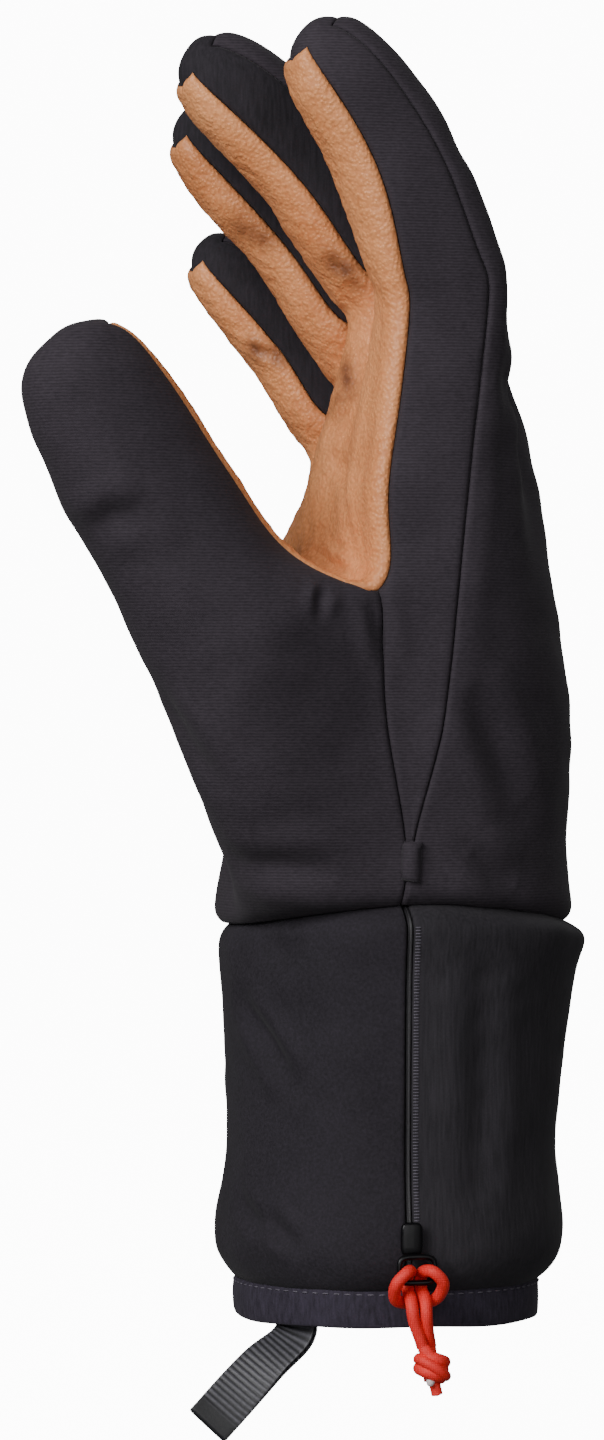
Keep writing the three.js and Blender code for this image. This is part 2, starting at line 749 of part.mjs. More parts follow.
function ribbonRows() {
  const layers = RIBBON_FOLD_GAP + 2 * RIBBON_THICKNESS;
  const inset = SOFTSHELL_WALL + RIBBON_CLEARANCE + layers / 2;
  const top = oval(RIBBON_ANGLE, HEM_DEPTH / 2 - inset, HEM_DEPTH / 2 - inset, HEM_BREADTH / 2 - inset, 0);
  const curve = new THREE.CatmullRomCurve3(RIBBON_ROUTE.map((point) => new THREE.Vector3(
    top.x - point.out * HEM_DEPTH / 2, top.y - point.forward * HEM_DEPTH / 2, -point.down,
  )));
  const hemwise = new THREE.Vector3(-Math.sin(RIBBON_ANGLE * DEGREE), Math.cos(RIBBON_ANGLE * DEGREE), 0);
  const lines = [];
  for (let step = 0; step <= RIBBON_STEPS; step += 1) {
    const share = step / RIBBON_STEPS;
    const along = curve.getTangent(share);
    const across = hemwise.clone().lerp(RIBBON_END_BREADTH, share);
    across.addScaledVector(along, -across.dot(along)).normalize();
    lines.push({ middle: curve.getPoint(share), across, along, out: along.clone().cross(across) });
  }
  const spacing = (RIBBON_FOLD_GAP + RIBBON_THICKNESS) / 2;
  const layer = (line, turn) => ({
    place: line.middle.clone().addScaledVector(line.out, spacing * Math.cos(turn))
      .addScaledVector(line.along, spacing * Math.sin(turn)),
    across: line.across,
  });
  const end = lines[RIBBON_STEPS];
  const fold = [45, 90, 135].map((turn) => layer(end, turn * DEGREE));
  const front = lines.map((line) => layer(line, 0));
  return [...front, ...fold, ...lines.reverse().map((line) => layer(line, Math.PI))];
}

// Zip slider with the small ring in front of it that the cord is looped round
const SLIDER_HEIGHT = HEM_HEIGHT + SLIDER_RISE;
const SLIDER_FRONT = -(SLIDER_ROW_SIDE * CUFF_BREADTH / 2 + SEAM_GAP + SLIDER_THICKNESS);
const RING_FRONT = SLIDER_FRONT - SEAM_GAP - RING_BAR / 2;
const BAR_HEIGHT = SLIDER_HEIGHT - RING_HEIGHT - RING_BAR / 2;

function roundedOutline(path, width, height, radius) {
  const w = width / 2;
  const h = height / 2;
  path.moveTo(w, -h + radius);
  path.lineTo(w, h - radius);
  path.absarc(w - radius, h - radius, radius, 0, Math.PI / 2, false);
  path.lineTo(-w + radius, h);
  path.absarc(-w + radius, h - radius, radius, Math.PI / 2, Math.PI, false);
  path.lineTo(-w, -h + radius);
  path.absarc(-w + radius, -h + radius, radius, Math.PI, 1.5 * Math.PI, false);
  path.lineTo(w - radius, -h);
  path.absarc(w - radius, -h + radius, radius, 1.5 * Math.PI, 2 * Math.PI, false);
  return path;
}

function plateGeometry(shape, thickness) {
  const geometry = new THREE.ExtrudeGeometry(shape, {
    depth: thickness, bevelEnabled: false, curveSegments: CORNER_STEPS,
  });
  geometry.translate(0, 0, -thickness / 2);
  return geometry.rotateX(Math.PI / 2);
}

// The cord's route in millimetres from the middle of the ring's lower bar: right, up and out. It starts
// at the knot, goes behind the bar, lies in two ears round the ring and comes back to the knot.
const CORD_ROUTE = [
  [0.9, -13.2, 1.3], [0.1, -11.0, 1.6], [-0.9, -8.6, 1.9], [-1.5, -6.2, 2.2], [-1.6, -4.4, 1.7],
  [-1.5, -3.0, 0.2], [-1.45, -1.9, -1.7], [-1.45, -0.3, -2.5], [-1.5, 1.6, -1.9], [-1.7, 2.55, 0.8],
  [-2.9, 2.4, 2.7], [-4.9, 0.3, 2.4], [-5.0, -2.0, 0.6], [-3.7, -3.9, -1.6], [0.0, -4.4, -3.6],
  [3.7, -3.9, -1.6], [5.0, -2.0, 0.6], [4.9, 0.3, 2.4], [2.9, 2.4, 2.7], [1.7, 2.55, 0.8],
  [1.5, 1.6, -1.9], [1.45, -0.3, -2.5], [1.45, -1.9, -1.7], [1.5, -3.0, 0.2], [1.45, -4.4, 1.7],
  [1.4, -6.2, 2.2], [1.7, -8.6, 1.6], [2.3, -11.0, 0.6], [3.0, -13.3, -0.6],
];
const KNOT_PLACE = [3.0, -17.5, 0.3];

function besideBar([right, up, out]) {
  return new THREE.Vector3(ZIP_PLACE + RING_SHIFT + right, RING_FRONT - out, BAR_HEIGHT + up);
}

function cordGeometry() {
  const section = new THREE.Shape();
  for (let side = 0; side < CORD_SIDES; side += 1) {
    const turn = 2 * Math.PI * side / CORD_SIDES;
    const place = [CORD_DIAMETER / 2 * Math.cos(turn), CORD_DIAMETER / 2 * Math.sin(turn)];
    if (side === 0) {
      section.moveTo(...place);
    } else {
      section.lineTo(...place);
    }
  }
  const route = new THREE.CatmullRomCurve3(CORD_ROUTE.map(besideBar));
  return new THREE.ExtrudeGeometry(section, { steps: CORD_STEPS, extrudePath: route, bevelEnabled: false });
}

function solidOf(geometry) {
  const bare = geometry.clone();
  bare.deleteAttribute('normal');
  bare.deleteAttribute('uv');
  const merged = BufferGeometryUtils.mergeVertices(bare, 1e-4);
  return new wasm.Manifold(new wasm.Mesh({
    numProp: 3,
    vertProperties: new Float32Array(merged.getAttribute('position').array),
    triVerts: new Uint32Array(merged.index.array),
  }));
}

function geometryOf(solid) {
  const mesh = solid.getMesh();
  const geometry = new THREE.BufferGeometry();
  geometry.setAttribute('position', new THREE.Float32BufferAttribute(mesh.vertProperties, 3));
  geometry.setIndex(Array.from(mesh.triVerts));
  return geometry;
}

function knotGeometry() {
  const middle = besideBar(KNOT_PLACE);
  const knot = new THREE.SphereGeometry(KNOT_DIAMETER / 2, KNOT_SIDES, KNOT_RINGS).rotateX(Math.PI / 2);
  const reach = KNOT_DIAMETER / 2 + TAIL_LENGTH;
  const tail = new THREE.CylinderGeometry(TAIL_DIAMETER / 2, TAIL_DIAMETER / 2, reach, CORD_SIDES);
  tail.rotateX(Math.PI / 2).translate(0, 0, -reach / 2).rotateY(TAIL_LEAN * DEGREE);
  const whole = solidOf(knot).add(solidOf(tail));
  return geometryOf(whole).translate(middle.x, middle.y, middle.z);
}

// Colour, roughness and metalness of each kind of surface
const LOOKS = {
  leather: [0xc4885a, 0.6, 0],
  softshell: [0x2b282c, 0.85, 0],
  ribbedSoftshell: [0x252326, 0.85, 0],
  zip: [0x151416, 0.6, 0],
  binding: [0x26242e, 0.7, 0],
  metal: [0x1c1b1e, 0.4, 0.8],
  cord: [0xe83828, 0.7, 0],
  ribbon: [0x2a2a2e, 0.7, 0],
};
const group = new THREE.Group();

function addPiece(name, geometry, look) {
  const [color, roughness, metalness] = LOOKS[look];
  const mesh = new THREE.Mesh(geometry, new THREE.MeshStandardMaterial({ color, roughness, metalness }));
  mesh.name = name;
  group.add(mesh);
  return mesh;
}

const coarseGlove = gloveNet();
passThroughPoints(coarseGlove, PASS_ROUNDS);
const glove = subdivide(coarseGlove);
glove.points = limitPoints(glove);
const gloveNormals = netNormals(glove);
addPiece('palm_leather', pieceGeometry(glove, gloveNormals, 'palm_leather', LEATHER_WALL), 'leather');
for (const piece of ['thumb_panel', 'back_panel', ...SIDE_STRIPS]) {
  addPiece(piece, pieceGeometry(glove, gloveNormals, piece, SOFTSHELL_WALL), 'softshell');
}

const cuff = cuffNet();
const cuffNormals = netNormals(cuff);
addPiece('cuff_palm', pieceGeometry(cuff, cuffNormals, 'cuff_palm', SOFTSHELL_WALL), 'softshell');
addPiece('cuff_back', pieceGeometry(cuff, cuffNormals, 'cuff_back', SOFTSHELL_WALL), 'ribbedSoftshell');
addPiece('zip_chain', pieceGeometry(cuff, cuffNormals, 'zip_chain', SOFTSHELL_WALL), 'zip');
const hem = hemNet();
addPiece('hem_band', pieceGeometry(hem, netNormals(hem), 'hem_band', SOFTSHELL_WALL), 'binding');

const sliderOutline = roundedOutline(new THREE.Shape(), SLIDER_WIDTH, SLIDER_LENGTH, SLIDER_CORNER);
const slider = addPiece('zip_slider', plateGeometry(sliderOutline, SLIDER_THICKNESS), 'metal');
slider.position.set(
  ZIP_PLACE, SLIDER_FRONT + SLIDER_THICKNESS / 2, SLIDER_HEIGHT + SLIDER_LENGTH / 2 - SLIDER_OVERLAP,
);
const ringOutline = roundedOutline(new THREE.Shape(), RING_WIDTH, RING_HEIGHT, RING_CORNER);
const ringHole = [RING_WIDTH - 2 * RING_BAR, RING_HEIGHT - 2 * RING_BAR];
ringOutline.holes.push(roundedOutline(new THREE.Path(), ...ringHole, RING_INNER_CORNER));
const ring = addPiece('zip_ring', plateGeometry(ringOutline, RING_BAR), 'metal');
ring.position.set(ZIP_PLACE + RING_SHIFT, RING_FRONT, BAR_HEIGHT + RING_HEIGHT / 2 - RING_BAR / 2);
addPiece('pull_cord', cordGeometry(), 'cord');
addPiece('pull_knot', knotGeometry(), 'cord');
addPiece('hang_loop', stripGeometry(ribbonRows(), RIBBON_WIDTH, RIBBON_THICKNESS), 'ribbon');

export default group;
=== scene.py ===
# %% [markdown]
# # A heated glove, right hand
# A long-cuffed winter glove: black softshell on the back, thumb and cuff, tan leather on the palm and
# finger fronts, a short zip with a red cord pull, a bound hem and a ribbed ribbon loop.
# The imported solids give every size. This file dresses them in cloth, leather and cord.

# %% Load the frame
import math

import bpy
import numpy as np
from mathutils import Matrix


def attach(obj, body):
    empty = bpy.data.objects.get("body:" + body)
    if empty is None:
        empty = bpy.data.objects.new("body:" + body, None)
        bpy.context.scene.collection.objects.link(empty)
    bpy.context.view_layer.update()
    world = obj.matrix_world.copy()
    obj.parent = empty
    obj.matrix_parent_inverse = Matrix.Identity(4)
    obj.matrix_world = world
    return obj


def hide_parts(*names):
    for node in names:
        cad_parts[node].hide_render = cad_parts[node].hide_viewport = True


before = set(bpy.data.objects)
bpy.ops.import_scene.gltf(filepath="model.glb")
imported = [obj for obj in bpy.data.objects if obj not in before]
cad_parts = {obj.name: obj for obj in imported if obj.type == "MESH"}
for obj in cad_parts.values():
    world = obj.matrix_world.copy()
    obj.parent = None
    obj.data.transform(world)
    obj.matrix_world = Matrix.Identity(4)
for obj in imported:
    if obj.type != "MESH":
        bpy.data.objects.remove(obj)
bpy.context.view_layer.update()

MM = 0.001
DEGREE = math.pi / 180
print("nodes", len(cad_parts))

# %% [markdown]
# ## Camera
# The glove stands upright and is seen from its thumb side, turned a little towards the palm. A long lens
# more than a metre away keeps the fingers and the hem in proportion.

# %% Camera
VIEW_TURN = -14 * DEGREE
VIEW_DISTANCE = 1.2
LOOK_AT = np.array([-0.01747, 0.00435, 0.1273])
towards = np.array([-math.sin(VIEW_TURN), math.cos(VIEW_TURN), 0.0])
camera_data = bpy.data.cameras.new("camera")
camera_data.lens = 139.5
camera_data.sensor_width = 36
camera = bpy.data.objects.new("camera", camera_data)
camera.location = LOOK_AT - VIEW_DISTANCE * towards
camera.rotation_euler = (math.pi / 2, 0, VIEW_TURN)
bpy.context.scene.collection.objects.link(camera)
bpy.context.scene.camera = camera
print("camera at", [round(v, 3) for v in camera.location])

# %% [markdown]
# ## Making a mesh
# Each piece is a set of points and faces worked out as whole arrays in millimetres. One helper puts them
# into Blender in metres, shades them smooth and lets them ride on the glove.

# %% Mesh helper
def new_piece(name, points, faces, replaces=(), material=None):
    """Puts points (n, 3) in millimetres and faces (m, 4) or (m, 3) into a mesh."""
    mesh = bpy.data.meshes.new(name)
    mesh.vertices.add(len(points))
    mesh.vertices.foreach_set("co", np.ascontiguousarray(points * MM, dtype=np.float32).ravel())
    corners = faces.shape[1]
    mesh.loops.add(faces.size)
    mesh.loops.foreach_set("vertex_index", np.ascontiguousarray(faces, dtype=np.int32).ravel())
    mesh.polygons.add(len(faces))
    mesh.polygons.foreach_set("loop_start", np.arange(0, faces.size, corners, dtype=np.int32))
    mesh.polygons.foreach_set("use_smooth", np.ones(len(faces), dtype=bool))
    mesh.update(calc_edges=True)
    mesh.validate()
    piece = bpy.data.objects.new(name, mesh)
    bpy.context.scene.collection.objects.link(piece)
    if material is not None:
        mesh.materials.append(material)
    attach(piece, "root")
    if replaces:
        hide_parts(*replaces)
    print(name, len(faces), "faces")
    return piece


def unit(vectors):
    """Each row divided by its length."""
    return vectors / np.linalg.norm(vectors, axis=1, keepdims=True)


def squared(value, power):
    """A sine or cosine raised to a power below 1, sign kept, so that a round section squares up."""
    return np.sign(value) * np.abs(value) ** power


def set_values(piece, name, values):
    """Keeps one number for each point of a piece, for its material to read."""
    kept = piece.data.attributes.new(name, "FLOAT", "POINT")
    kept.data.foreach_set("value", np.ascontiguousarray(values, dtype=np.float32))


def grid_faces(rows, columns, closed_rows=False, closed_columns=False):
    """Four-sided faces between the points of a grid, numbered row by row."""
    low = np.arange(rows if closed_rows else rows - 1)
    left = np.arange(columns if closed_columns else columns - 1)
    r, c = np.meshgrid(low, left, indexing="ij")
    up, right = (r + 1) % rows, (c + 1) % columns
    faces = np.stack([r * columns + c, r * columns + right, up * columns + right, up * columns + c], -1)
    return faces.reshape(-1, 4)

# %% [markdown]
# ## The red cord
# A thin braided cord is looped round the bar of a small ring at the zip's end: its middle lies behind
# two ears, and both ends run down together into a knot. A tube is carried along the route, and its
# surface is raised in small diamonds, as the crossing yarns of a braid are. A curve with a round bevel
# would be quicker, but a real braid catches the light in many small points.

# %% Cord route
ZIP_PLACE = -5.2
RING_SHIFT = 0.65
RING_FRONT = -42.49
BAR_HEIGHT = 10.5
CORD_DIAMETER = 2.6
CORD_STEP = 0.09
CORD_ROUTE = [
    (0.9, -13.2, 1.3), (0.1, -11.0, 1.6), (-0.9, -8.6, 1.9), (-1.5, -6.2, 2.2), (-1.6, -4.4, 1.7),
    (-1.5, -3.0, 0.2), (-1.45, -1.9, -1.7), (-1.45, -0.3, -2.5), (-1.5, 1.6, -1.9), (-1.7, 2.55, 0.8),
    (-2.9, 2.4, 2.7), (-4.9, 0.3, 2.4), (-5.0, -2.0, 0.6), (-3.7, -3.9, -1.6), (0.0, -4.4, -3.6),
    (3.7, -3.9, -1.6), (5.0, -2.0, 0.6), (4.9, 0.3, 2.4), (2.9, 2.4, 2.7), (1.7, 2.55, 0.8),
    (1.5, 1.6, -1.9), (1.45, -0.3, -2.5), (1.45, -1.9, -1.7), (1.5, -3.0, 0.2), (1.45, -4.4, 1.7),
    (1.4, -6.2, 2.2), (1.7, -8.6, 1.6), (2.3, -11.0, 0.6), (3.0, -13.3, -0.6),
]


def beside_bar(route):
    """Right, up and out of the ring's lower bar, turned into the glove's x, y and z."""
    right, up, out = np.asarray(route, dtype=float).T
    return np.stack([ZIP_PLACE + RING_SHIFT + right, RING_FRONT - out, BAR_HEIGHT + up], -1)


def smooth_path(points, spacing):
    """A Catmull-Rom curve through the points, cut into equal lengths near spacing."""
    p = np.vstack([2 * points[0] - points[1], points, 2 * points[-1] - points[-2]])
    t = np.linspace(0, 1, 24, endpoint=False)[None, :, None]
    a, b, c, d = (p[i:len(p) - 3 + i, None, :] for i in range(4))
    curve = 0.5 * (2 * b + (c - a) * t + (2 * a - 5 * b + 4 * c - d) * t**2 + (3 * b - a - 3 * c + d) * t**3)
    curve = np.vstack([curve.reshape(-1, 3), points[-1]])
    length = np.concatenate([[0], np.cumsum(np.linalg.norm(np.diff(curve, axis=0), axis=1))])
    even = np.linspace(0, length[-1], int(length[-1] / spacing) + 1)
    return np.stack([np.interp(even, length, curve[:, i]) for i in range(3)], -1), length[-1]


def turning_frames(path):
    """Directions beside a path that turn as little as they can from one point to the next."""
    along = unit(np.gradient(path, axis=0))
    start = np.cross(along[0], [0.3, 0.2, 0.9])
    beside = [start / np.linalg.norm(start)]
    for step in along[1:]:
        turned = beside[-1] - step * (beside[-1] @ step)
        beside.append(turned / np.linalg.norm(turned))
    beside = np.array(beside)
    return along, beside, np.cross(along, beside)


def tube(path, radius, sides):
    """Rings of points round a path, radius given for each ring and side, with both ends closed."""
    along, beside, above = turning_frames(path)
    turn = np.linspace(0, 2 * math.pi, sides, endpoint=False)
    rings = path[:, None] + radius[..., None] * (
        np.cos(turn)[None, :, None] * beside[:, None] + np.sin(turn)[None, :, None] * above[:, None])
    count = len(path)
    faces = grid_faces(count, sides, closed_columns=True)
    caps = []
    for end, order in ((0, [1, 0, 2]), (count - 1, [0, 1, 2])):
        ring = np.arange(sides) + end * sides
        fan = np.stack([ring, np.roll(ring, -1), np.full(sides, count * sides + len(caps))], -1)
        caps.append(fan[:, order])
    poles = path[[0, -1]] + along[[0, -1]] * np.array([[-0.3], [0.3]]) * radius[[0, -1], 0][:, None]
    return np.vstack([rings.reshape(-1, 3), poles]), faces, np.vstack(caps)


def braid(path, radius, sides, lump=0.055, yarns=4, pitch=0.62):
    """Radius of a braided cord: it swells and sinks in diamonds, cos(yarns·turn) times cos(way)."""
    step = np.linalg.norm(np.diff(path, axis=0), axis=1).mean()
    way = np.arange(len(path))[:, None] * step * math.pi / pitch
    turn = np.linspace(0, 2 * math.pi, sides, endpoint=False)[None, :] * yarns
    return radius * (1 - lump / 2 + lump * np.abs(np.cos(turn + way)) * np.abs(np.cos(turn - way)) ** 0.5)


def tube_piece(name, path, radius, sides, replaces=(), material=None):
    """A closed tube as one mesh of three-sided faces: each four-sided face of its round sides is cut in two,
    and its caps are fans.
    """
    points, sides_faces, caps = tube(path, radius, sides)
    halves = np.vstack([sides_faces[:, [0, 1, 2]], sides_faces[:, [0, 2, 3]], caps])
    return new_piece(name, points, halves, replaces, material)


print("cord route of", len(CORD_ROUTE), "places")

# %% [markdown]
# ## Colours and finishes
# Every finish is a Principled surface whose colour, roughness and bump come from noise and waves on
# Object coordinates, in millimetres after a Mapping node. Softshell is a fine knit with broken
# lengthwise streaks, glove leather a pebbled skin, the ribbon and cord are plain weaves.

# %% Node helpers
def srgb(red, green, blue):
    """A screen colour from 0 to 255 as the linear colour that Blender works with."""
    c = np.array([red, green, blue]) / 255
    return tuple(np.where(c <= 0.04045, c / 12.92, ((c + 0.055) / 1.055) ** 2.4)) + (1.0,)


class Finish:
    """A material with short calls for its nodes."""

    def __init__(self, name):
        self.material = bpy.data.materials.new(name)
        self.material.use_nodes = True
        self.tree = self.material.node_tree
        self.surface = next(n for n in self.tree.nodes if n.type == "BSDF_PRINCIPLED")
        self.place = self.node("ShaderNodeTexCoord").outputs["Object"]

    def node(self, kind, **values):
        made = self.tree.nodes.new(kind)
        for key, value in values.items():
            setattr(made, key, value)
        return made

    def link(self, source, target):
        if hasattr(source, "node"):
            self.tree.links.new(source, target)
        else:
            target.default_value = source

    def pattern(self, kind, pace, output, inputs=(), **values):
        """A texture on the place times pace: a larger number makes it finer that way."""
        mapping = self.node("ShaderNodeMapping")
        self.link(self.place, mapping.inputs["Vector"])
        mapping.inputs["Scale"].default_value = np.broadcast_to(pace, 3)
        made = self.node(kind, **values)
        self.link(mapping.outputs["Vector"], made.inputs["Vector"])
        for key, number in inputs:
            made.inputs[key].default_value = number
        return made.outputs[output]

    def noise(self, pace, detail=2.0, rough=0.5):
        return self.pattern("ShaderNodeTexNoise", pace, "Fac",
                            (("Scale", 1), ("Detail", detail), ("Roughness", rough)))

    def cells(self, pace):
        return self.pattern("ShaderNodeTexVoronoi", pace, "Distance",
                            (("Scale", 1), ("Randomness", 1)), feature="SMOOTH_F1")

    def ribs(self, axis, scale, sway=0.0):
        return self.pattern("ShaderNodeTexWave", 1, "Fac", (("Scale", scale), ("Distortion", sway)),
                            bands_direction=axis)

    def math(self, kind, a, b):
        made = self.node("ShaderNodeMath", operation=kind)
        self.link(a, made.inputs[0])
        self.link(b, made.inputs[1])
        return made.outputs[0]

    def times(self, a, b):
        return self.math("MULTIPLY", a, b)

    def spread(self, value, low, high, new_low=0.0, new_high=1.0):
        made = self.node("ShaderNodeMapRange")
        self.link(value, made.inputs["Value"])
        for key, number in (("From Min", low), ("From Max", high), ("To Min", new_low), ("To Max", new_high)):
            made.inputs[key].default_value = number
        return made.outputs["Result"]

    def mix(self, share, a, b):
        made = self.node("ShaderNodeMix", data_type="RGBA")
        self.link(share, made.inputs["Factor"])
        self.link(a, made.inputs[6])
        self.link(b, made.inputs[7])
        return made.outputs[2]

    def bump(self, height, depth, strength=1.0, below=None):
        """Bump of that depth in millimetres."""
        made = self.node("ShaderNodeBump")
        made.inputs["Strength"].default_value = strength
        made.inputs["Distance"].default_value = depth * MM
        self.link(height, made.inputs["Height"])
        if below is not None:
            self.link(below, made.inputs["Normal"])
        return made.outputs["Normal"]

    def wear(self, colour, roughness, normal, **sockets):
        """Joins colour, roughness and bump to the surface and sets its plain sockets."""
        self.link(colour, self.surface.inputs["Base Color"])
        self.link(roughness, self.surface.inputs["Roughness"])
        if normal is not None:
            self.link(normal, self.surface.inputs["Normal"])
        for key, value in sockets.items():
            self.surface.inputs[key.replace("_", " ")].default_value = value
        return self.material


def softshell(name, dark, pale, streak, depth=0.06, courses=0):
    """Fine knitted face: broken streaks along one way, a fuzz of fine grain and slow shading. Courses,
    where it has them, are faint level rows."""
    finish = Finish(name)
    lines, grain, slow = finish.noise(streak, 1.0), finish.noise(2600, 2.0, 0.6), finish.noise(60)
    knit = finish.math("ADD", finish.times(lines, 0.65), finish.times(grain, 0.35))
    if courses:
        rows = finish.ribs("Z", courses, 1.5)
        knit = finish.math("ADD", finish.times(knit, 0.75), finish.times(rows, 0.25))
    share = finish.spread(finish.math("ADD", knit, finish.times(slow, 0.3)), 0.4, 0.9)
    colour = finish.mix(share, dark, pale)
    rough = finish.spread(knit, 0.3, 0.7, 0.78, 0.95)
    normal = finish.bump(knit, depth)
    return finish.wear(colour, rough, normal, Sheen_Weight=0.04, Sheen_Roughness=0.5,
                       Specular_IOR_Level=0.25)


def leather(name):
    """Pebbled glove leather: small rounded cells, fine pores and cross creases; the tops of the pebbles are
    painted paler, a painted highlight. Its attribute for the bends is 1 where the fingers bend, and there the
    colour is painted darker, as painted shade."""
    finish = Finish(name)
    drift, pores, slow = finish.noise(180, 3.0, 0.55), finish.noise(2600), finish.noise(45)
    pebble = finish.spread(finish.cells(1350), 0.1, 0.7, 1.0, 0.0)
    # Colour tone: slow random tone, and the pebble tops painted paler as a painted highlight.
    tone_and_pebble_highlight = finish.math("ADD", finish.times(pebble, 0.3), finish.times(slow, 0.7))
    colour = finish.mix(finish.spread(tone_and_pebble_highlight, 0.25, 0.75), srgb(206, 126, 74), srgb(252, 174, 114))
    colour = finish.mix(finish.spread(drift, 0.35, 0.7, 0.0, 0.35), colour, srgb(230, 150, 98))
    # Painted shade in the finger bends: where the attribute is 1 the leather colour is mixed patchily towards
    # dark brown.
    crease_shade = finish.node("ShaderNodeAttribute", attribute_name="crease_shade").outputs["Fac"]
    crease_shade_share = finish.times(crease_shade, finish.spread(drift, 0.3, 0.65, 0.35, 0.95))
    colour = finish.mix(crease_shade_share, colour, srgb(112, 66, 40))
    rough = finish.spread(pebble, 0.0, 1.0, 0.6, 0.4)
    normal = finish.bump(pores, 0.05, 0.7)
    normal = finish.bump(pebble, 0.2, 0.8, normal)
    return finish.wear(colour, rough, normal, Specular_IOR_Level=0.5)


SOFTSHELL = softshell("softshell", srgb(40, 35, 41), srgb(64, 58, 65), (900, 900, 1900), courses=500)
CUFF_SOFTSHELL = softshell("cuff_softshell", srgb(27, 24, 29), srgb(49, 45, 52), 1500)
RIBBED = softshell("ribbed_softshell", srgb(33, 31, 35), srgb(54, 51, 56), (1700, 1700, 130))
STRIP_SOFTSHELL = softshell("strip_softshell", srgb(27, 25, 29), srgb(52, 48, 54), (1700, 1700, 200))
LEATHER = leather("glove_leather")
print("materials", len(bpy.data.materials))

# %% More finishes
def cloth(name, dark, pale, scale, depth, rough):
    """Plain close weave: two crossed sets of fine threads."""
    finish = Finish(name)
    weave = finish.times(finish.ribs("X", scale), finish.ribs("Z", scale))
    share = finish.spread(finish.math("ADD", weave, finish.noise(1800, 2.0, 0.6)), 0.3, 1.4)
    return finish.wear(finish.mix(share, dark, pale), rough, finish.bump(weave, depth))


BINDING = softshell("hem_binding", srgb(33, 29, 38), srgb(64, 58, 72), (1500, 1500, 350), 0.1)
CORD = cloth("red_cord", srgb(232, 24, 20), srgb(255, 66, 56), 700, 0.05, 0.6)
THREAD = cloth("stitching", srgb(70, 66, 76), srgb(112, 106, 118), 900, 0.04, 0.6)
COIL = cloth("zip_coil", srgb(18, 17, 19), srgb(44, 42, 46), 900, 0.04, 0.5)


def lacquer(name, colour, rough):
    """Smooth lacquered metal with faint handling marks."""
    finish = Finish(name)
    marks = finish.noise((700, 700, 200), 3.0, 0.6)
    roughness = finish.spread(marks, 0.3, 0.7, rough - 0.06, rough + 0.1)
    return finish.wear(colour, roughness, finish.bump(marks, 0.01), Metallic=0.6, Coat_Weight=0.1)


def melted(name):
    """The sealed end of the cord's core: milky, half clear and smooth."""
    finish = Finish(name)
    cloud = finish.noise(900)
    colour = finish.mix(cloud, srgb(232, 190, 186), srgb(250, 236, 232))
    return finish.wear(colour, 0.35, finish.bump(cloud, 0.05), Subsurface_Weight=0.2)


def grosgrain(name):
    """Ribbed ribbon: its colour is painted paler on the crests of the ribs, a painted highlight, and darker
    between them, painted shade; the plain end takes the darker colour. Its attribute is 1 on a rib's crest
    and 0 between ribs and on the plain end.
    """
    finish = Finish(name)
    rib_highlight = finish.node("ShaderNodeAttribute", attribute_name="rib_highlight").outputs["Fac"]
    fuzz = finish.noise(1500, 2.0, 0.6)
    # Painted highlight on the rib crests and painted shade between the ribs.
    share = finish.times(rib_highlight, finish.spread(fuzz, 0.3, 0.7, 0.6, 1.0))
    return finish.wear(finish.mix(share, srgb(22, 22, 25), srgb(88, 87, 94)), 0.5, finish.bump(fuzz, 0.05))


RIBBON = grosgrain("grosgrain")
METAL = lacquer("black_lacquer", srgb(16, 15, 18), 0.32)
MELTED = melted("melted_end")
print("materials", len(bpy.data.materials))

# %% Cord, pieces
cord_path, cord_length = smooth_path(beside_bar(CORD_ROUTE), CORD_STEP)
CORD_SIDES = 32
pull_cord = tube_piece("pull_cord_braid", cord_path, braid(cord_path, CORD_DIAMETER / 2, CORD_SIDES),
                       CORD_SIDES, ["pull_cord"], CORD)
print("cord", round(cord_length, 1), "mm long")

# %% [markdown]
# ## The knot
# Both ends of the cord meet in one tight barrel knot. One strand winds round the other in a tilted
# helix and crosses over its own turns, and the other runs straight through and comes out below as a
# short tail. Beside the tail sits the winding strand's end, melted to a white bead.

# %% Knot
KNOT_PLACE = (3.0, -17.5, 0.3)
KNOT_CORD, BAND_CORD, TAIL_CORD, BEAD_RADIUS = 2.7, 2.3, 2.4, 0.95
KNOT_RADIUS, KNOT_TURNS, KNOT_RISE, KNOT_TILT = 2.35, 2.6, 4.2, 14 * DEGREE
KNOT_SIDES, KNOT_BRAID_PITCH, BEAD_SIDES = 28, 0.7, 20
# right, up and out of the knot's middle
STRAND_IN = (-2.1, 4.3, 1.0)
CORE_ROUTE = [
    (0, 4.2, -0.9), (0.05, 2.6, -0.4), (0.1, 0, 0), (0.3, -2.6, 0.3), (0.7, -4, 0.5), (1.1, -5.7, 0.5),
]
BAND_ROUTE = [(-3.0, 1.9, 0.2), (-2.1, 1.5, 2.4), (0, 0.2, 3.3), (2.0, -1.3, 2.5), (3.0, -1.9, 0.3)]
BEAD_ROUTE = [(-0.5, -2.0, 1.6), (-0.8, -3.0, 2.1), (-0.9, -3.8, 2.2)]


def beside_knot(route):
    return beside_bar(np.array(KNOT_PLACE) + np.asarray(route, dtype=float))


def winding():
    """The strand's way into the knot, then its turns: a helix whose axis is tilted in the picture."""
    share = np.linspace(0, 1, 40)
    turn = 2.1 - share * KNOT_TURNS * 2 * math.pi
    right, up, out = KNOT_RADIUS * np.cos(turn), KNOT_RISE * (0.5 - share), KNOT_RADIUS * np.sin(turn)
    cos, sin = math.cos(KNOT_TILT), math.sin(KNOT_TILT)
    turns = np.stack([right * cos + up * sin, up * cos - right * sin, out], -1)
    return np.vstack([[STRAND_IN], turns])


def knot_piece(name, route, diameter, replaces=()):
    line = smooth_path(beside_knot(route), CORD_STEP)[0]
    radius = braid(line, diameter / 2, KNOT_SIDES, pitch=KNOT_BRAID_PITCH)
    return tube_piece(name, line, radius, KNOT_SIDES, replaces, CORD)


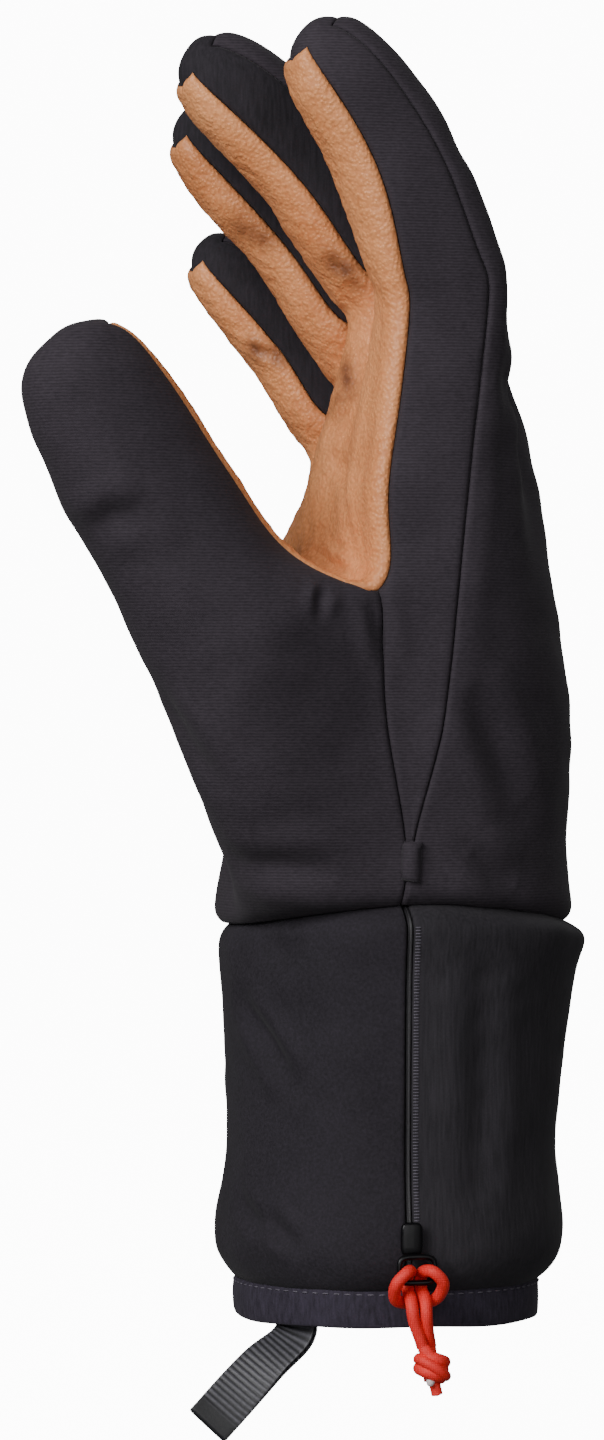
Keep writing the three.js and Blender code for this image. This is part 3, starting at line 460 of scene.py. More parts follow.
knot = knot_piece("pull_knot_turns", winding(), KNOT_CORD, ["pull_knot"])
band = knot_piece("pull_knot_band", BAND_ROUTE, BAND_CORD)
tail = knot_piece("pull_tail", CORE_ROUTE, TAIL_CORD)
bead_line = smooth_path(beside_knot(BEAD_ROUTE), 0.1)[0]
share = np.linspace(0, 1, len(bead_line))[:, None]
bead_radius = BEAD_RADIUS * np.sqrt(1.02 - share**3) * np.ones((1, BEAD_SIDES))
bead = tube_piece("melted_end", bead_line, bead_radius, BEAD_SIDES, (), MELTED)

# %% [markdown]
# ## The glove's cage
# The hand is one smooth skin before it is cut into panels. Its cage is a coarse net of four-sided
# faces: rings of points round the trunk of the hand, round the knuckles, round each finger and round
# the thumb. The rings come from ovals whose sizes and leans stand in short tables. Catmull-Clark
# subdivision then rounds it, as a Subdivision Surface modifier would, but in arrays, because the panels
# that are cut from it must share their edges exactly.

# %% Cage sizes
CUFF_DEPTH, CUFF_BREADTH = 75.0, 78.0
HEM_HEIGHT, HEM_DEPTH, HEM_BREADTH = 8.4, 65.0, 70.0
CUFF_HEIGHT, HAND_LENGTH = 75.0, 71.0
CREASE_HEIGHT = HEM_HEIGHT + CUFF_HEIGHT
CROTCH_HEIGHT = CREASE_HEIGHT + HAND_LENGTH
HAND_BREADTH, CROTCH_BREADTH, HAND_BACK_DEPTH, HAND_PALM_DEPTH = 94.0, 90.0, 35.0, 24.0
PITCH = HAND_BREADTH / 4
BACK_BULGE, BACK_FULLNESS, PALM_RISE, PALM_HOLLOW, BALL_FULLNESS = 4.0, 3.0, 6.0, 2.0, 0.28
KNUCKLE_HEIGHT, FINGER_LENGTH, FINGER_DEPTH, FINGER_WIDTH = 60.0, 70.0, 28.0, 21.6
THUMB_LENGTH, THUMB_WIDTH, THUMB_DEPTH = 78.0, 43.0, 34.0
THUMB_SIDE, THUMB_OFFSET, THUMB_DROP = 33.0, 38.0, 12.8
CREASE_TUCK, CREASE_RISE = 3.0, 5.0
TRUNK_COLUMNS, HAND_COLUMNS = 28, 26
FIRST_BACK, LAST_BACK, ULNAR_SEAM, WEB_END, WEB_COUNT = 1, 13, 14, 22, 4

# Angles from the back of the hand at these columns, at the wrist and at the thumb's crotch
ANGLE_COLUMNS = [1, 13, 14, 22, 28]
WRIST_ANGLES = [-97.4, 75, 95, 190, 259]
CROTCH_ANGLES = [-84, 80, 98, 194, 253]

# rise, tuck, swell, palm-side seam, back-side seam
TRUNK_ROWS = [
    (0.0, 1, 0, -0.083, -0.056), (0.05, 0, 0, -0.083, -0.057), (0.2, 0, 0, -0.079, -0.059),
    (0.46, 0, 0.025, -0.12, -0.003), (0.72, 0, 0.03, -0.15, 0.033), (1.0, 0, 0, -0.173, 0.053),
]
HAND_ROWS = [0.3, 0.65]
# forward, across, up, splay, length, depth, width, root lean, tip lean, palm seam at the root and at the
# tip, back seam
FINGERS = [
    (0.1, -1.49, 1.01, -0.16, 0.92, 1.03, 1.0, 13, 45, 132, 116, 57),
    (0.04, -0.5, 1.04, -0.08, 1.02, 1.0, 1.0, 29, 58, 120, 120, 60),
    (0.12, 0.5, 0.86, 0.04, 0.99, 0.98, 0.98, 31, 52, 120, 120, 60),
    (0.12, 1.46, 0.56, 0.16, 0.82, 0.88, 0.9, 27, 51, 120, 120, 60),
]
CROTCH_SHARES = [0.98, 1.08, 1.0, 0.66, 0.5]
# along, size, slant
FINGER_ROWS = [
    (0, 1, 1), (0.13, 1, 0.75), (0.38, 0.97, 0.25), (0.63, 0.9, 0), (0.84, 0.79, 0), (0.955, 0.52, 0),
]
# along, width, depth
THUMB_ROWS = [
    (0, 1, 1), (0.15, 0.92, 0.88), (0.37, 0.81, 0.78), (0.61, 0.77, 0.74), (0.84, 0.68, 0.66),
    (0.955, 0.46, 0.44),
]
THUMB_LEANS, THUMB_SPLAY = (37, 29), -12.0
THUMB_ANGLES = np.array([66, 90, 115, 140, 168, 200, 248, 297, 345, 390]) * DEGREE
PANELS = ["palm_leather", "thumb_panel", "back_panel", "index_side_panel", "fourchette_index_middle",
          "fourchette_middle_ring", "fourchette_ring_little"]
LEATHER_PANEL, THUMB_PANEL, BACK_PANEL, FIRST_STRIP = 0, 1, 2, 3
print("thumb's crotch", CROTCH_HEIGHT, "mm and wrist crease", CREASE_HEIGHT, "mm above the hem's edge")

# %% Rings of the cage
def oval(angle, palm, back, side, height):
    """Points at these angles on an oval that is deeper one way than the other."""
    x = np.cos(angle)
    return np.stack([x * np.where(x < 0, palm, back), side * np.sin(angle), np.zeros_like(x) + height], -1)


def column_angles(angles):
    """Angle of every column of the trunk; column 0 is a whole turn before column 28."""
    turn = np.interp(np.arange(TRUNK_COLUMNS), ANGLE_COLUMNS, angles)
    turn[0] = angles[-1] - 360
    return turn * DEGREE


def hump(column, first, last):
    """A swell of height 1 midway between two columns, and nothing outside them."""
    inside = (column > first) & (column < last)
    return np.where(inside, np.sin(math.pi * (column - first) / (last - first)), 0)


def spine(base, length, leans, splay, share):
    """Where a digit's middle line is after a share of its length. Its lean grows evenly, so the way is
    the integral of a sine and a cosine."""
    a, b = leans[0] * DEGREE, (leans[1] - leans[0]) * DEGREE
    x = -length * (math.cos(a) - math.cos(a + b * share)) / b
    z = length * (math.sin(a + b * share) - math.sin(a)) / b
    return base + np.array([x, splay * share, z])


def finger_base(finger):
    return np.array([finger[0] * FINGER_DEPTH, finger[1] * PITCH, CROTCH_HEIGHT + finger[2] * KNUCKLE_HEIGHT])


def finger_ring(index, along, size, slant):
    """Eight points round a finger: an oval across its leaning middle line, sloped at the root so that
    it meets the crotches on both sides."""
    f = FINGERS[index]
    lean = (f[7] + (f[8] - f[7]) * along) * DEGREE
    middle = spine(finger_base(f), f[4] * FINGER_LENGTH, f[7:9], f[3] * PITCH, along)
    palm, back = f[10] + (f[9] - f[10]) * slant, f[11]
    angle = np.array([-palm, -back, -back + (back + 60) / 3, -back + (back + 60) * 2 / 3, 60, 120,
                      120 + (240 - palm) / 3, 120 + (240 - palm) * 2 / 3]) * DEGREE
    outer, inner = ((CROTCH_SHARES[index + i] - f[2]) * KNUCKLE_HEIGHT for i in (0, 1))
    side = np.sin(angle)
    rise = (outer * (1 - side) + inner * (1 + side)) / 2 * slant
    backward = np.array([math.cos(lean), 0, math.sin(lean)])
    upward = np.array([-math.sin(lean), 0, math.cos(lean)])
    ring = middle + backward * (f[5] * FINGER_DEPTH / 2 * size * np.cos(angle))[:, None]
    ring[:, 1] += f[6] * FINGER_WIDTH / 2 * size * side
    return ring + upward * rise[:, None]


THUMB_BASE = np.array([-THUMB_OFFSET, -THUMB_SIDE, CROTCH_HEIGHT - THUMB_DROP])


def thumb_ring(along, width, depth):
    """Ten points round the thumb, on an oval across its leaning middle line."""
    lean = (THUMB_LEANS[0] + (THUMB_LEANS[1] - THUMB_LEANS[0]) * along) * DEGREE
    middle = spine(THUMB_BASE, THUMB_LENGTH, THUMB_LEANS, THUMB_SPLAY, along)
    fingerward = np.array([math.cos(lean), 0, math.sin(lean)])
    ring = middle + fingerward * (width * THUMB_WIDTH / 2 * np.sin(THUMB_ANGLES))[:, None]
    ring[:, 1] -= depth * THUMB_DEPTH / 2 * np.cos(THUMB_ANGLES)
    return ring


print("fingers", len(FINGERS), "of", len(FINGER_ROWS), "rings, thumb of", len(THUMB_ROWS))

# %% The trunk's rings
columns = np.arange(TRUNK_COLUMNS)
wrist_angle, crotch_angle = column_angles(WRIST_ANGLES), column_angles(CROTCH_ANGLES)


def wrist_ring(tuck):
    """The oval at the wrist crease, drawn in by tuck and lifted on the thumb side."""
    lifted = CREASE_HEIGHT + CREASE_RISE * np.maximum(0, -np.sin(wrist_angle)) ** 2
    depth = CUFF_DEPTH / 2 - tuck
    return oval(wrist_angle, depth, depth + BACK_FULLNESS, CUFF_BREADTH / 2 - tuck, lifted)


palm_share = np.maximum(0, columns - ULNAR_SEAM) / (WEB_END - ULNAR_SEAM)
crotch_ring = oval(crotch_angle, HAND_PALM_DEPTH, HAND_BACK_DEPTH, CROTCH_BREADTH / 2,
                   CROTCH_HEIGHT + PALM_RISE * palm_share)
crotch_ring[WEB_END + 1:] = thumb_ring(*THUMB_ROWS[0])[WEB_COUNT + 1:]
crotch_ring[0, 0], crotch_ring[FIRST_BACK, 0] = (TRUNK_ROWS[-1][i] * CUFF_DEPTH for i in (3, 4))


def trunk_ring(rise, tuck, swell, palm_seam, back_seam):
    """Between the wrist and the thumb's crotch; the ball of the thumb swells out early."""
    low = wrist_ring(tuck * CREASE_TUCK)
    ease = rise ** (1 - BALL_FULLNESS * hump(columns, WEB_END, TRUNK_COLUMNS))
    ring = low + (crotch_ring - low) * ease[:, None]
    ring[:, 2] = low[:, 2] + (crotch_ring[:, 2] - low[:, 2]) * rise
    ring[:, 0] += swell * CUFF_DEPTH * hump(columns, FIRST_BACK, LAST_BACK)
    ring[0, 0], ring[FIRST_BACK, 0] = palm_seam * CUFF_DEPTH, back_seam * CUFF_DEPTH
    return ring


print("trunk", len(TRUNK_ROWS), "rings of", TRUNK_COLUMNS, "points")

# %% Joining the rings
cage_points, cage_faces, cage_panels = [], [], []


def lay(ring):
    """Adds points to the cage and returns their numbers."""
    first = sum(len(p) for p in cage_points)
    cage_points.append(np.atleast_2d(ring))
    return np.arange(first, first + len(cage_points[-1]))


def join(low, high, panels):
    """Faces between two closed rings of the cage, each with the number of its panel."""
    cage_faces.append(np.stack([low, np.roll(low, -1), np.roll(high, -1), high], -1))
    cage_panels.append(np.asarray(panels))


trunk = [lay(trunk_ring(*row)) for row in TRUNK_ROWS]
trunk_panels = np.where(columns < ULNAR_SEAM, BACK_PANEL, THUMB_PANEL)
for row in range(len(trunk) - 1):
    panels = trunk_panels.copy()
    panels[0] = BACK_PANEL if row < 2 else FIRST_STRIP
    if row >= 3:
        panels[ULNAR_SEAM:WEB_END + 1] = LEATHER_PANEL
    join(trunk[row], trunk[row + 1], panels)
top = trunk[-1]
steps = np.arange(1, WEB_COUNT)[:, None] / WEB_COUNT
web = lay(crotch_ring[0] + (crotch_ring[WEB_END] - crotch_ring[0]) * steps)
hand_loop = np.concatenate([top[:WEB_END + 1], web[::-1]])
thumb_loop = np.concatenate([top[:1], web, top[WEB_END:]])


def root_columns(index):
    """Which of the hand's columns a finger's eight root points are."""
    back, palm = FIRST_BACK + 3 * index, HAND_COLUMNS - 3 * index
    return np.array([palm % HAND_COLUMNS, back, back + 1, back + 2, back + 3, palm - 3, palm - 2, palm - 1])


root_sum, root_count = np.zeros((HAND_COLUMNS, 3)), np.zeros(HAND_COLUMNS)
for index in range(len(FINGERS)):
    np.add.at(root_sum, root_columns(index), finger_ring(index, *FINGER_ROWS[0]))
    np.add.at(root_count, root_columns(index), 1)
roots = root_sum / root_count[:, None]
hand_columns = np.arange(HAND_COLUMNS)
hand_panels = np.where(hand_columns < ULNAR_SEAM, BACK_PANEL, LEATHER_PANEL)
hand_panels[0] = FIRST_STRIP
low = hand_loop
low_points = np.vstack(cage_points)[hand_loop]
fullness = BACK_BULGE * hump(hand_columns, FIRST_BACK, LAST_BACK)
fullness += PALM_HOLLOW * hump(hand_columns, ULNAR_SEAM, WEB_END)
for rise in HAND_ROWS + [1]:
    ring = low_points + (roots - low_points) * rise
    ring[:, 0] += fullness * math.sin(math.pi * rise)
    high = lay(ring)
    join(low, high, hand_panels)
    low = high
root_loop = low


def add_digit(start, rings, tip, panels, tip_panel):
    """Rings of a digit above its root, closed by faces that meet in one point at its tip."""
    low = start
    for ring in rings:
        high = lay(ring)
        join(low, high, panels)
        low = high
    pole = lay(tip)[0]
    even = low[::2]
    fan = np.stack([np.full(len(even), pole), even, low[1::2], np.roll(even, -1)], -1)
    cage_faces.append(fan)
    cage_panels.append(np.full(len(fan), tip_panel))


for index, f in enumerate(FINGERS):
    strip = FIRST_STRIP + index
    inner = BACK_PANEL if index == len(FINGERS) - 1 else strip + 1
    panels = [strip, BACK_PANEL, BACK_PANEL, BACK_PANEL, inner] + [LEATHER_PANEL] * 3
    tip = spine(finger_base(f), f[4] * FINGER_LENGTH, f[7:9], f[3] * PITCH, 1)
    add_digit(root_loop[root_columns(index)], [finger_ring(index, *row) for row in FINGER_ROWS[1:]], tip,
              panels, strip)
add_digit(thumb_loop, [thumb_ring(*row) for row in THUMB_ROWS[1:]],
          spine(THUMB_BASE, THUMB_LENGTH, THUMB_LEANS, THUMB_SPLAY, 1),
          [LEATHER_PANEL] * (WEB_COUNT + 1) + [THUMB_PANEL] * 5, THUMB_PANEL)
print("cage", sum(len(f) for f in cage_faces), "faces")

# %% [markdown]
# ## Rounding the cage
# One step of Catmull-Clark subdivision puts a point in each face, moves each edge's middle towards the
# two faces beside it and draws each corner in. Every sum over neighbours is one bincount. The cage is
# first pushed outwards until its smooth surface passes through the points of the tables.

# %% Subdivision
def totals(where, values, count):
    """Adds up rows of values that belong to the same point."""
    return np.stack([np.bincount(where, values[:, i], count) for i in range(values.shape[1])], -1)


def edge_table(faces, count):
    """The edges of a net, the edge that leaves each face corner, and how many faces each edge has."""
    ends = np.stack([faces, np.roll(faces, -1, axis=1)], -1).reshape(-1, 2)
    keys, where, uses = np.unique(ends.min(1) * count + ends.max(1), return_inverse=True, return_counts=True)
    return np.stack([keys // count, keys % count], -1), where.reshape(faces.shape), uses


def limit(points, faces):
    """Where the endlessly subdivided surface lies over each point of a net."""
    count = len(points)
    edges, _, uses = edge_table(faces, count)
    both, other = edges.ravel(), edges[:, ::-1].ravel()
    near = totals(both, points[other], count)
    n = np.bincount(both, minlength=count)[:, None]
    far = totals(faces.ravel(), points[np.roll(faces, -2, axis=1).ravel()], count)
    inside = (n * n * points + 4 * near + far) / (n * (n + 5))
    rim_edges = edges[uses == 1]
    rim_near = totals(rim_edges.ravel(), points[rim_edges[:, ::-1].ravel()], count)
    on_rim = np.bincount(rim_edges.ravel(), minlength=count)[:, None] > 0
    return np.where(on_rim, (4 * points + rim_near) / 6, inside)


def pass_through(points, faces, rounds):
    """Pushes the points until the smooth surface reaches where they were."""
    moved = points.copy()
    for _ in range(rounds):
        moved += points - limit(moved, faces)
    return moved


def subdivide(points, faces):
    """One step of Catmull-Clark subdivision."""
    count = len(points)
    edges, where, uses = edge_table(faces, count)
    face_points = points[faces].mean(axis=1)
    middles = points[edges].mean(axis=1)
    beside = totals(where.ravel(), np.repeat(face_points, 4, axis=0), len(edges))
    edge_points = np.where((uses == 2)[:, None], (2 * middles + beside) / 4, middles)
    n = np.bincount(edges.ravel(), minlength=count)[:, None]
    face_mean = totals(faces.ravel(), np.repeat(face_points, 4, axis=0), count) / n
    edge_mean = totals(edges.ravel(), np.repeat(middles, 2, axis=0), count) / n
    inside = (face_mean + 2 * edge_mean + (n - 3) * points) / n
    rim = uses == 1
    rim_sum = totals(edges[rim].ravel(), np.repeat(middles[rim], 2, axis=0), count)
    on_rim = np.bincount(edges[rim].ravel(), minlength=count)[:, None] > 0
    corners = np.where(on_rim, (2 * points + rim_sum) / 4, inside)
    after = where + count
    before = np.roll(where, 1, axis=1) + count
    middle = np.repeat(np.arange(len(faces)) + count + len(edges), 4).reshape(faces.shape)
    finer = np.stack([faces, after, middle, before], -1).reshape(-1, 4)
    return np.vstack([corners, edge_points, face_points]), finer


def rounded(points, faces, panels, levels, rounds=16):
    """The cage pushed out, subdivided levels times and laid on its limit."""
    points = pass_through(points, faces, rounds)
    for _ in range(levels):
        points, faces = subdivide(points, faces)
        panels = np.repeat(panels, 4)
    return limit(points, faces), faces, panels


LEVELS = 4
skin, skin_faces, skin_panels = rounded(
    np.vstack(cage_points), np.vstack(cage_faces), np.concatenate(cage_panels), LEVELS)
print("skin", len(skin), "points")

# %% [markdown]
# ## Cutting panels
# The sewn panels roll inwards at their seams, because each seam allowance is turned to the inside.
# The way from the nearest seam is found by handing distances on from point to point. Each panel then
# gets its wall, and its outer edges are drawn in a little, which leaves the fine dark line of the seam.
# Its inner edges aren't, so that no light comes through the seams.

# %% Panel helpers
def outward(points, faces):
    """Outward direction at every point: the crossed diagonals of its faces, added up."""
    a, b, c, d = (points[faces[:, i]] for i in range(4))
    normal = totals(faces.ravel(), np.repeat(np.cross(c - a, d - b), 4, axis=0), len(points))
    return normal / np.maximum(np.linalg.norm(normal, axis=1, keepdims=True), 1e-9)


def averaged(values, edges):
    """The mean of every point's neighbours."""
    both, other = edges.ravel(), edges[:, ::-1].ravel()
    return totals(both, values[other], len(values)) / np.bincount(both, minlength=len(values))[:, None]


def steady(normals, edges, rounds=14):
    """Outward directions made smooth, so that a tiny fold of the net can't turn one round."""
    for _ in range(rounds):
        normals = averaged(normals, edges)
    return unit(normals)


FOLDED_BACK, FOLD_SPREAD, FOLD_ROUNDS = 0.6, 6, 24


def unfold(points, faces, edges):
    """Draws the net even where it doubles back, as it does where a narrow column lies between wide ones."""
    turned = outward(points, faces)
    bad = (turned * steady(turned, edges)).sum(1) < FOLDED_BACK
    for _ in range(FOLD_SPREAD):
        bad[edges[bad[edges].any(axis=1)].ravel()] = True
    points = points.copy()
    for _ in range(FOLD_ROUNDS):
        points[bad] = averaged(points, edges)[bad]
    return points


def seam_points(faces, panels, count):
    """Which points lie between two panels or on the net's own rim."""
    edges, where, uses = edge_table(faces, count)
    first = np.full(len(edges), panels.max())
    last = np.full(len(edges), panels.min())
    np.minimum.at(first, where.ravel(), np.repeat(panels, 4))
    np.maximum.at(last, where.ravel(), np.repeat(panels, 4))
    on_seam = np.zeros(count, dtype=bool)
    on_seam[edges[(first != last) | (uses == 1)].ravel()] = True
    return on_seam, edges


def way_from(points, start, edges, reach):
    """Shortest way along the net from the marked points, up to reach."""
    way = np.where(start, 0.0, 1e3)
    lengths = np.linalg.norm(points[edges[:, 0]] - points[edges[:, 1]], axis=1)
    near = np.ones(len(edges), dtype=bool)
    while near.any():
        ends = edges[near]
        before = way[ends]
        np.minimum.at(way, ends[:, 0], before[:, 1] + lengths[near])
        np.minimum.at(way, ends[:, 1], before[:, 0] + lengths[near])
        changed = np.zeros(len(points), dtype=bool)
        changed[ends[way[ends] < before]] = True
        near = changed[edges].any(axis=1) & (way[edges].min(axis=1) < reach)
    return np.minimum(way, reach)


SEAM_GAP, CALM_REACH = 0.24, 3.0


def sewn(points, faces, panels, reach):
    """A net made even, its outward directions, its edges, the way from its nearest seam and how far that
    way has calmed: 0 on the seam and 1 well away from it."""
    on_seam, edges = seam_points(faces, panels, len(points))
    points = unfold(points, faces, edges)
    out = steady(outward(points, faces), edges, 4)
    way = way_from(points, on_seam, edges, reach)
    return points, out, edges, way, 1 - np.exp(-((way / CALM_REACH) ** 2))


def rolled_in(way, depth, width):
    """How far the cloth beside a seam turns inwards."""
    return depth * np.clip(1 - way / width, 0, 1) ** 2


def raised(points, faces, edges, out, height):
    """The net moved outwards by its heights, with its new outward directions."""
    points = points + out * height[:, None]
    return points, steady(outward(points, faces), edges, 4)


def cut_panel(points, normals, faces, wall):
    """The closed solid of one panel: outer face, inner face and the strip round its rim."""
    used, local = np.unique(faces, return_inverse=True)
    local = local.reshape(faces.shape)
    outer, out = points[used].copy(), normals[used]
    ends = np.stack([local, np.roll(local, -1, axis=1)], -1).reshape(-1, 2)
    count = len(used)
    keys = ends.min(1) * count + ends.max(1)
    _, first, uses = np.unique(keys, return_index=True, return_counts=True)
    rim = ends[first[uses == 1]]
    along = outer[rim[:, 1]] - outer[rim[:, 0]]
    inward = unit(np.cross(out[rim].reshape(-1, 3), np.repeat(along, 2, axis=0)))
    shift = totals(rim.ravel(), inward, count)
    length = np.linalg.norm(shift, axis=1, keepdims=True)
    outer += np.where(length > 0, shift / np.maximum(length, 1e-9), 0) * SEAM_GAP / 2
    inner = points[used] - out * wall
    strip = np.stack([rim[:, 1], rim[:, 0], rim[:, 0] + count, rim[:, 1] + count], -1)
    return np.vstack([outer, inner]), np.vstack([local, local[:, ::-1] + count, strip]), used


print("seams", SEAM_GAP, "mm wide")

# %% [markdown]
# ## Folds, puckers and wrinkles
# Worn cloth is never quite smooth. Slow random waves give both cloths a soft unevenness; leather gets
# short cross wrinkles where the fingers bend, from lines where a stretched wave passes through nought.
# The larger folds of this glove lie where the photograph has them, as grooves with raised lips beside
# named lines.

# %% Wave and groove helpers
def waves(points, seed, count, length, stretch=(1, 1, 1)):
    """Sum of sine waves with random directions and phases, of about that length."""
    random = np.random.default_rng(seed)
    directions = unit(random.normal(size=(count, 3)))
    pace = 2 * math.pi / (length * random.uniform(0.7, 1.5, count))
    phase = random.uniform(0, 2 * math.pi, count)
    return np.sin((points * stretch) @ (directions * pace[:, None]).T + phase).sum(1) / math.sqrt(count)


def way_to_line(points, line):
    """Distance from each point to a line of several pieces, and the share of the line's length there."""
    line = np.asarray(line, dtype=float)
    lengths = np.linalg.norm(np.diff(line, axis=0), axis=1)
    starts = np.concatenate([[0], np.cumsum(lengths)])
    best, at = np.full(len(points), 1e9), np.zeros(len(points))
    for a, b, length, start in zip(line[:-1], line[1:], lengths, starts):
        t = np.clip((points - a) @ (b - a) / length**2, 0, 1)
        way = np.linalg.norm(points - a - t[:, None] * (b - a), axis=1)
        nearer = way < best
        best = np.where(nearer, way, best)
        at = np.where(nearer, (start + t * length) / starts[-1], at)
    return best, at


def groove(points, line, depth, width, lip=0.35):
    """A fold: a valley along the line with a low bank on both sides, fading towards the line's ends."""
    way, at = way_to_line(points, line)
    fade = np.sin(math.pi * np.clip(at, 0.02, 0.98)) ** 0.6
    valley = np.exp(-((way / width) ** 2))
    bank = np.exp(-(((way - 2.1 * width) / width) ** 2))
    return depth * fade * (lip * bank - valley)

# %% Folds seen from the camera
def seen_line(points, normals, line):
    """Lays a line on the side of a skin that the camera sees. The line's places are millimetres right of
    and above the middle of the view, at the distance that the camera looks at."""
    right = np.array([towards[1], -towards[0], 0])
    away = points - LOOK_AT / MM
    shrink = VIEW_DISTANCE / MM / (VIEW_DISTANCE / MM + away @ towards)
    seen = np.stack([away @ right, away[:, 2]], -1) * shrink[:, None]
    facing = np.flatnonzero(normals @ towards < -0.15)
    nearest = [facing[np.argmin(((seen[facing] - place) ** 2).sum(1))] for place in np.asarray(line)]
    return points[nearest]


def folded(points, normals, folds):
    """Height of all the folds of a table, each a depth, a width, a lip and its line."""
    total = np.zeros(len(points))
    for depth, width, lip, line in folds:
        total += groove(points, seen_line(points, normals, line), depth, width, lip)
    return total


# depth, width, lip, line
HAND_FOLDS = [
    (1.1, 1.2, 0.6, [(4.7, 28.8), (4.3, 26.0), (4.1, 22.0)]),
    (1.3, 1.8, 0.5, [(15.2, 27.0), (16.8, 20.4), (18.5, 12.5)]),
    (0.8, 1.6, 0.5, [(10.8, 92.5), (11.2, 73.1), (9.3, 53.8), (9.3, 47.3), (11.4, 34.4)]),
    (0.7, 1.1, 0.8, [(3.0, 35.8), (6.5, 33.3), (10.5, 31.8)]),
    (0.35, 0.6, 0.6, [(2.2, 40.4), (7.1, 41.7)]),
    (0.35, 0.6, 0.6, [(2.8, 38.7), (8.2, 39.6)]),
    (0.35, 0.6, 0.6, [(3.4, 37.0), (9.0, 37.6)]),
    (0.6, 1.0, 0.6, [(-15.0, 107.2), (-11.4, 104.4), (-8.4, 103.2)]),
    (0.6, 1.0, 0.6, [(5.4, 99.0), (8.2, 96.8), (11.4, 94.2)]),
    (0.6, 1.0, 0.6, [(-11.0, 80.0), (-7.2, 78.8), (-3.6, 77.0)]),
    (0.7, 1.2, 0.5, [(1.0, 86.2), (4.2, 86.9), (7.6, 88.6)]),
    (1.2, 3.6, 0.4, [(41.9, 74.8), (44.7, 71.0), (46.9, 67.7)]),
    (1.2, 2.8, 0.6, [(-45.5, 40.4), (-40.3, 43.6), (-33.8, 44.1)]),
    (1.0, 3.0, 0.6, [(-20.0, 8.0), (-10.0, 4.0), (2.0, 6.0)]),
    (1.5, 3.2, 0.5, [(-16.0, -28.5), (-4.0, -32.0), (8.0, -33.0)]),
    (1.1, 3.6, 0.6, [(-31.0, 7.0), (-24.0, -6.0), (-16.0, -17.0)]),
    (1.6, 3.8, 0.6, [(35.0, 8.0), (42.0, -4.0), (47.5, -17.0)]),
    (1.2, 2.8, 0.5, [(36.0, -28.5), (42.0, -33.0), (46.5, -35.5)]),
]
CUFF_FOLDS = [
    (1.7, 2.4, 0.6, [(-12.4, -60.5), (-7.3, -69.7), (-2.2, -78.6)]),
    (1.8, 4.0, 0.3, [(-10.6, -48.0), (-4.7, -49.5), (1.4, -48.0)]),
    (1.2, 1.8, 0.6, [(-7.4, -106.5), (-4.4, -110.4), (-1.4, -113.0)]),
    (1.2, 2.0, 0.6, [(-14.0, -103.3), (-11.0, -107.0), (-8.0, -109.6)]),
    (1.0, 3.6, 0.5, [(39.6, -45.2), (39.1, -79.6), (38.3, -109.7)]),
]

# Painted shade: the leather colour is painted darker along these lines where the fingers bend: line, reach
CREASE_SHADE_LINES = [
    ([(-13.0, 106.0), (-9.0, 103.6)], 3.2), ([(6.5, 98.6), (10.5, 95.0)], 3.4),
    ([(-9.5, 79.6), (-5.0, 77.8)], 2.8), ([(2.0, 86.4), (6.0, 87.6)], 3.6),
    ([(6.0, 63.0), (8.5, 68.0)], 3.2), ([(9.5, 76.0), (10.5, 70.0)], 2.6),
]
TIP_REACH, TIP_PUFF, TIP_PRESS = 9.0, 1.1, 0.9
print("folds", len(HAND_FOLDS), "on the hand,", len(CUFF_FOLDS), "on the cuff")

# %% Fold the skin
skin, skin_out, skin_edges, seam_way, calm = sewn(skin, skin_faces, skin_panels, 9.0)
is_leather = np.zeros(len(skin), dtype=bool)
is_leather[skin_faces[skin_panels == LEATHER_PANEL].ravel()] = True
height = 0.28 * waves(skin, 3, 14, 24) * (0.4 + 0.6 * calm)
height += 0.10 * waves(skin, 4, 14, 9) * calm
cross = waves(skin, 7, 16, 7.5, (1, 0.4, 1))
cross_lines = np.exp(-((cross / 0.16) ** 2))
patches = np.clip(waves(skin, 8, 10, 26) + 0.2, 0, 1)
height -= np.where(is_leather, 0.22 * cross_lines * patches * calm, 0)
height += np.where(is_leather, 0.10 * waves(skin, 9, 16, 3.2) * calm, 0)
height -= rolled_in(seam_way, np.where(is_leather, 0.8, 0.45), np.where(is_leather, 1.8, 1.2))
height += folded(skin, skin_out, HAND_FOLDS)
for f in FINGERS:
    tip = spine(finger_base(f), f[4] * FINGER_LENGTH, f[7:9], f[3] * PITCH, 0.95)
    near_tip = np.exp(-((np.linalg.norm(skin - tip, axis=1) / TIP_REACH) ** 2))
    height += near_tip * np.where(is_leather, TIP_PUFF, -TIP_PRESS * np.exp(-((seam_way / 2.5) ** 2)))
# Painted shade: 1 near the listed bend lines, where the leather is coloured darker.
crease_shade = np.zeros(len(skin))
for line, reach in CREASE_SHADE_LINES:
    way = way_to_line(skin, seen_line(skin, skin_out, line))[0]
    crease_shade = np.maximum(crease_shade, np.exp(-((way / reach) ** 2)))
skin, skin_out = raised(skin, skin_faces, skin_edges, skin_out, height)
print("heights from", round(height.min(), 2), "to", round(height.max(), 2))

# %% Panels of the hand
LEATHER_WALL, CLOTH_WALL = 1.5, 2.0
for number, panel in enumerate(PANELS):
    leather_here = number == LEATHER_PANEL
    wall = LEATHER_WALL if leather_here else CLOTH_WALL
    points, faces, used = cut_panel(skin, skin_out, skin_faces[skin_panels == number], wall)
    finish = LEATHER if leather_here else STRIP_SOFTSHELL if number > FIRST_STRIP else SOFTSHELL
    slot = "leather" if leather_here else "softshell"
    piece = new_piece(panel + "_cloth", points, faces, [panel], finish)
    if leather_here:
        # Keeps the painted shade of the bends for the leather's colour.
        set_values(piece, "crease_shade", np.tile(crease_shade[used], 2))

# %% [markdown]
# ## The cuff
# A tube of softshell in two halves with a short zip between them on the thumb side. It bulges over the
# wrist crease and is drawn in again at the hem. It is the same kind of net as the hand: rows of ovals
# from a table, rounded and cut, with its own soft diagonal creases.

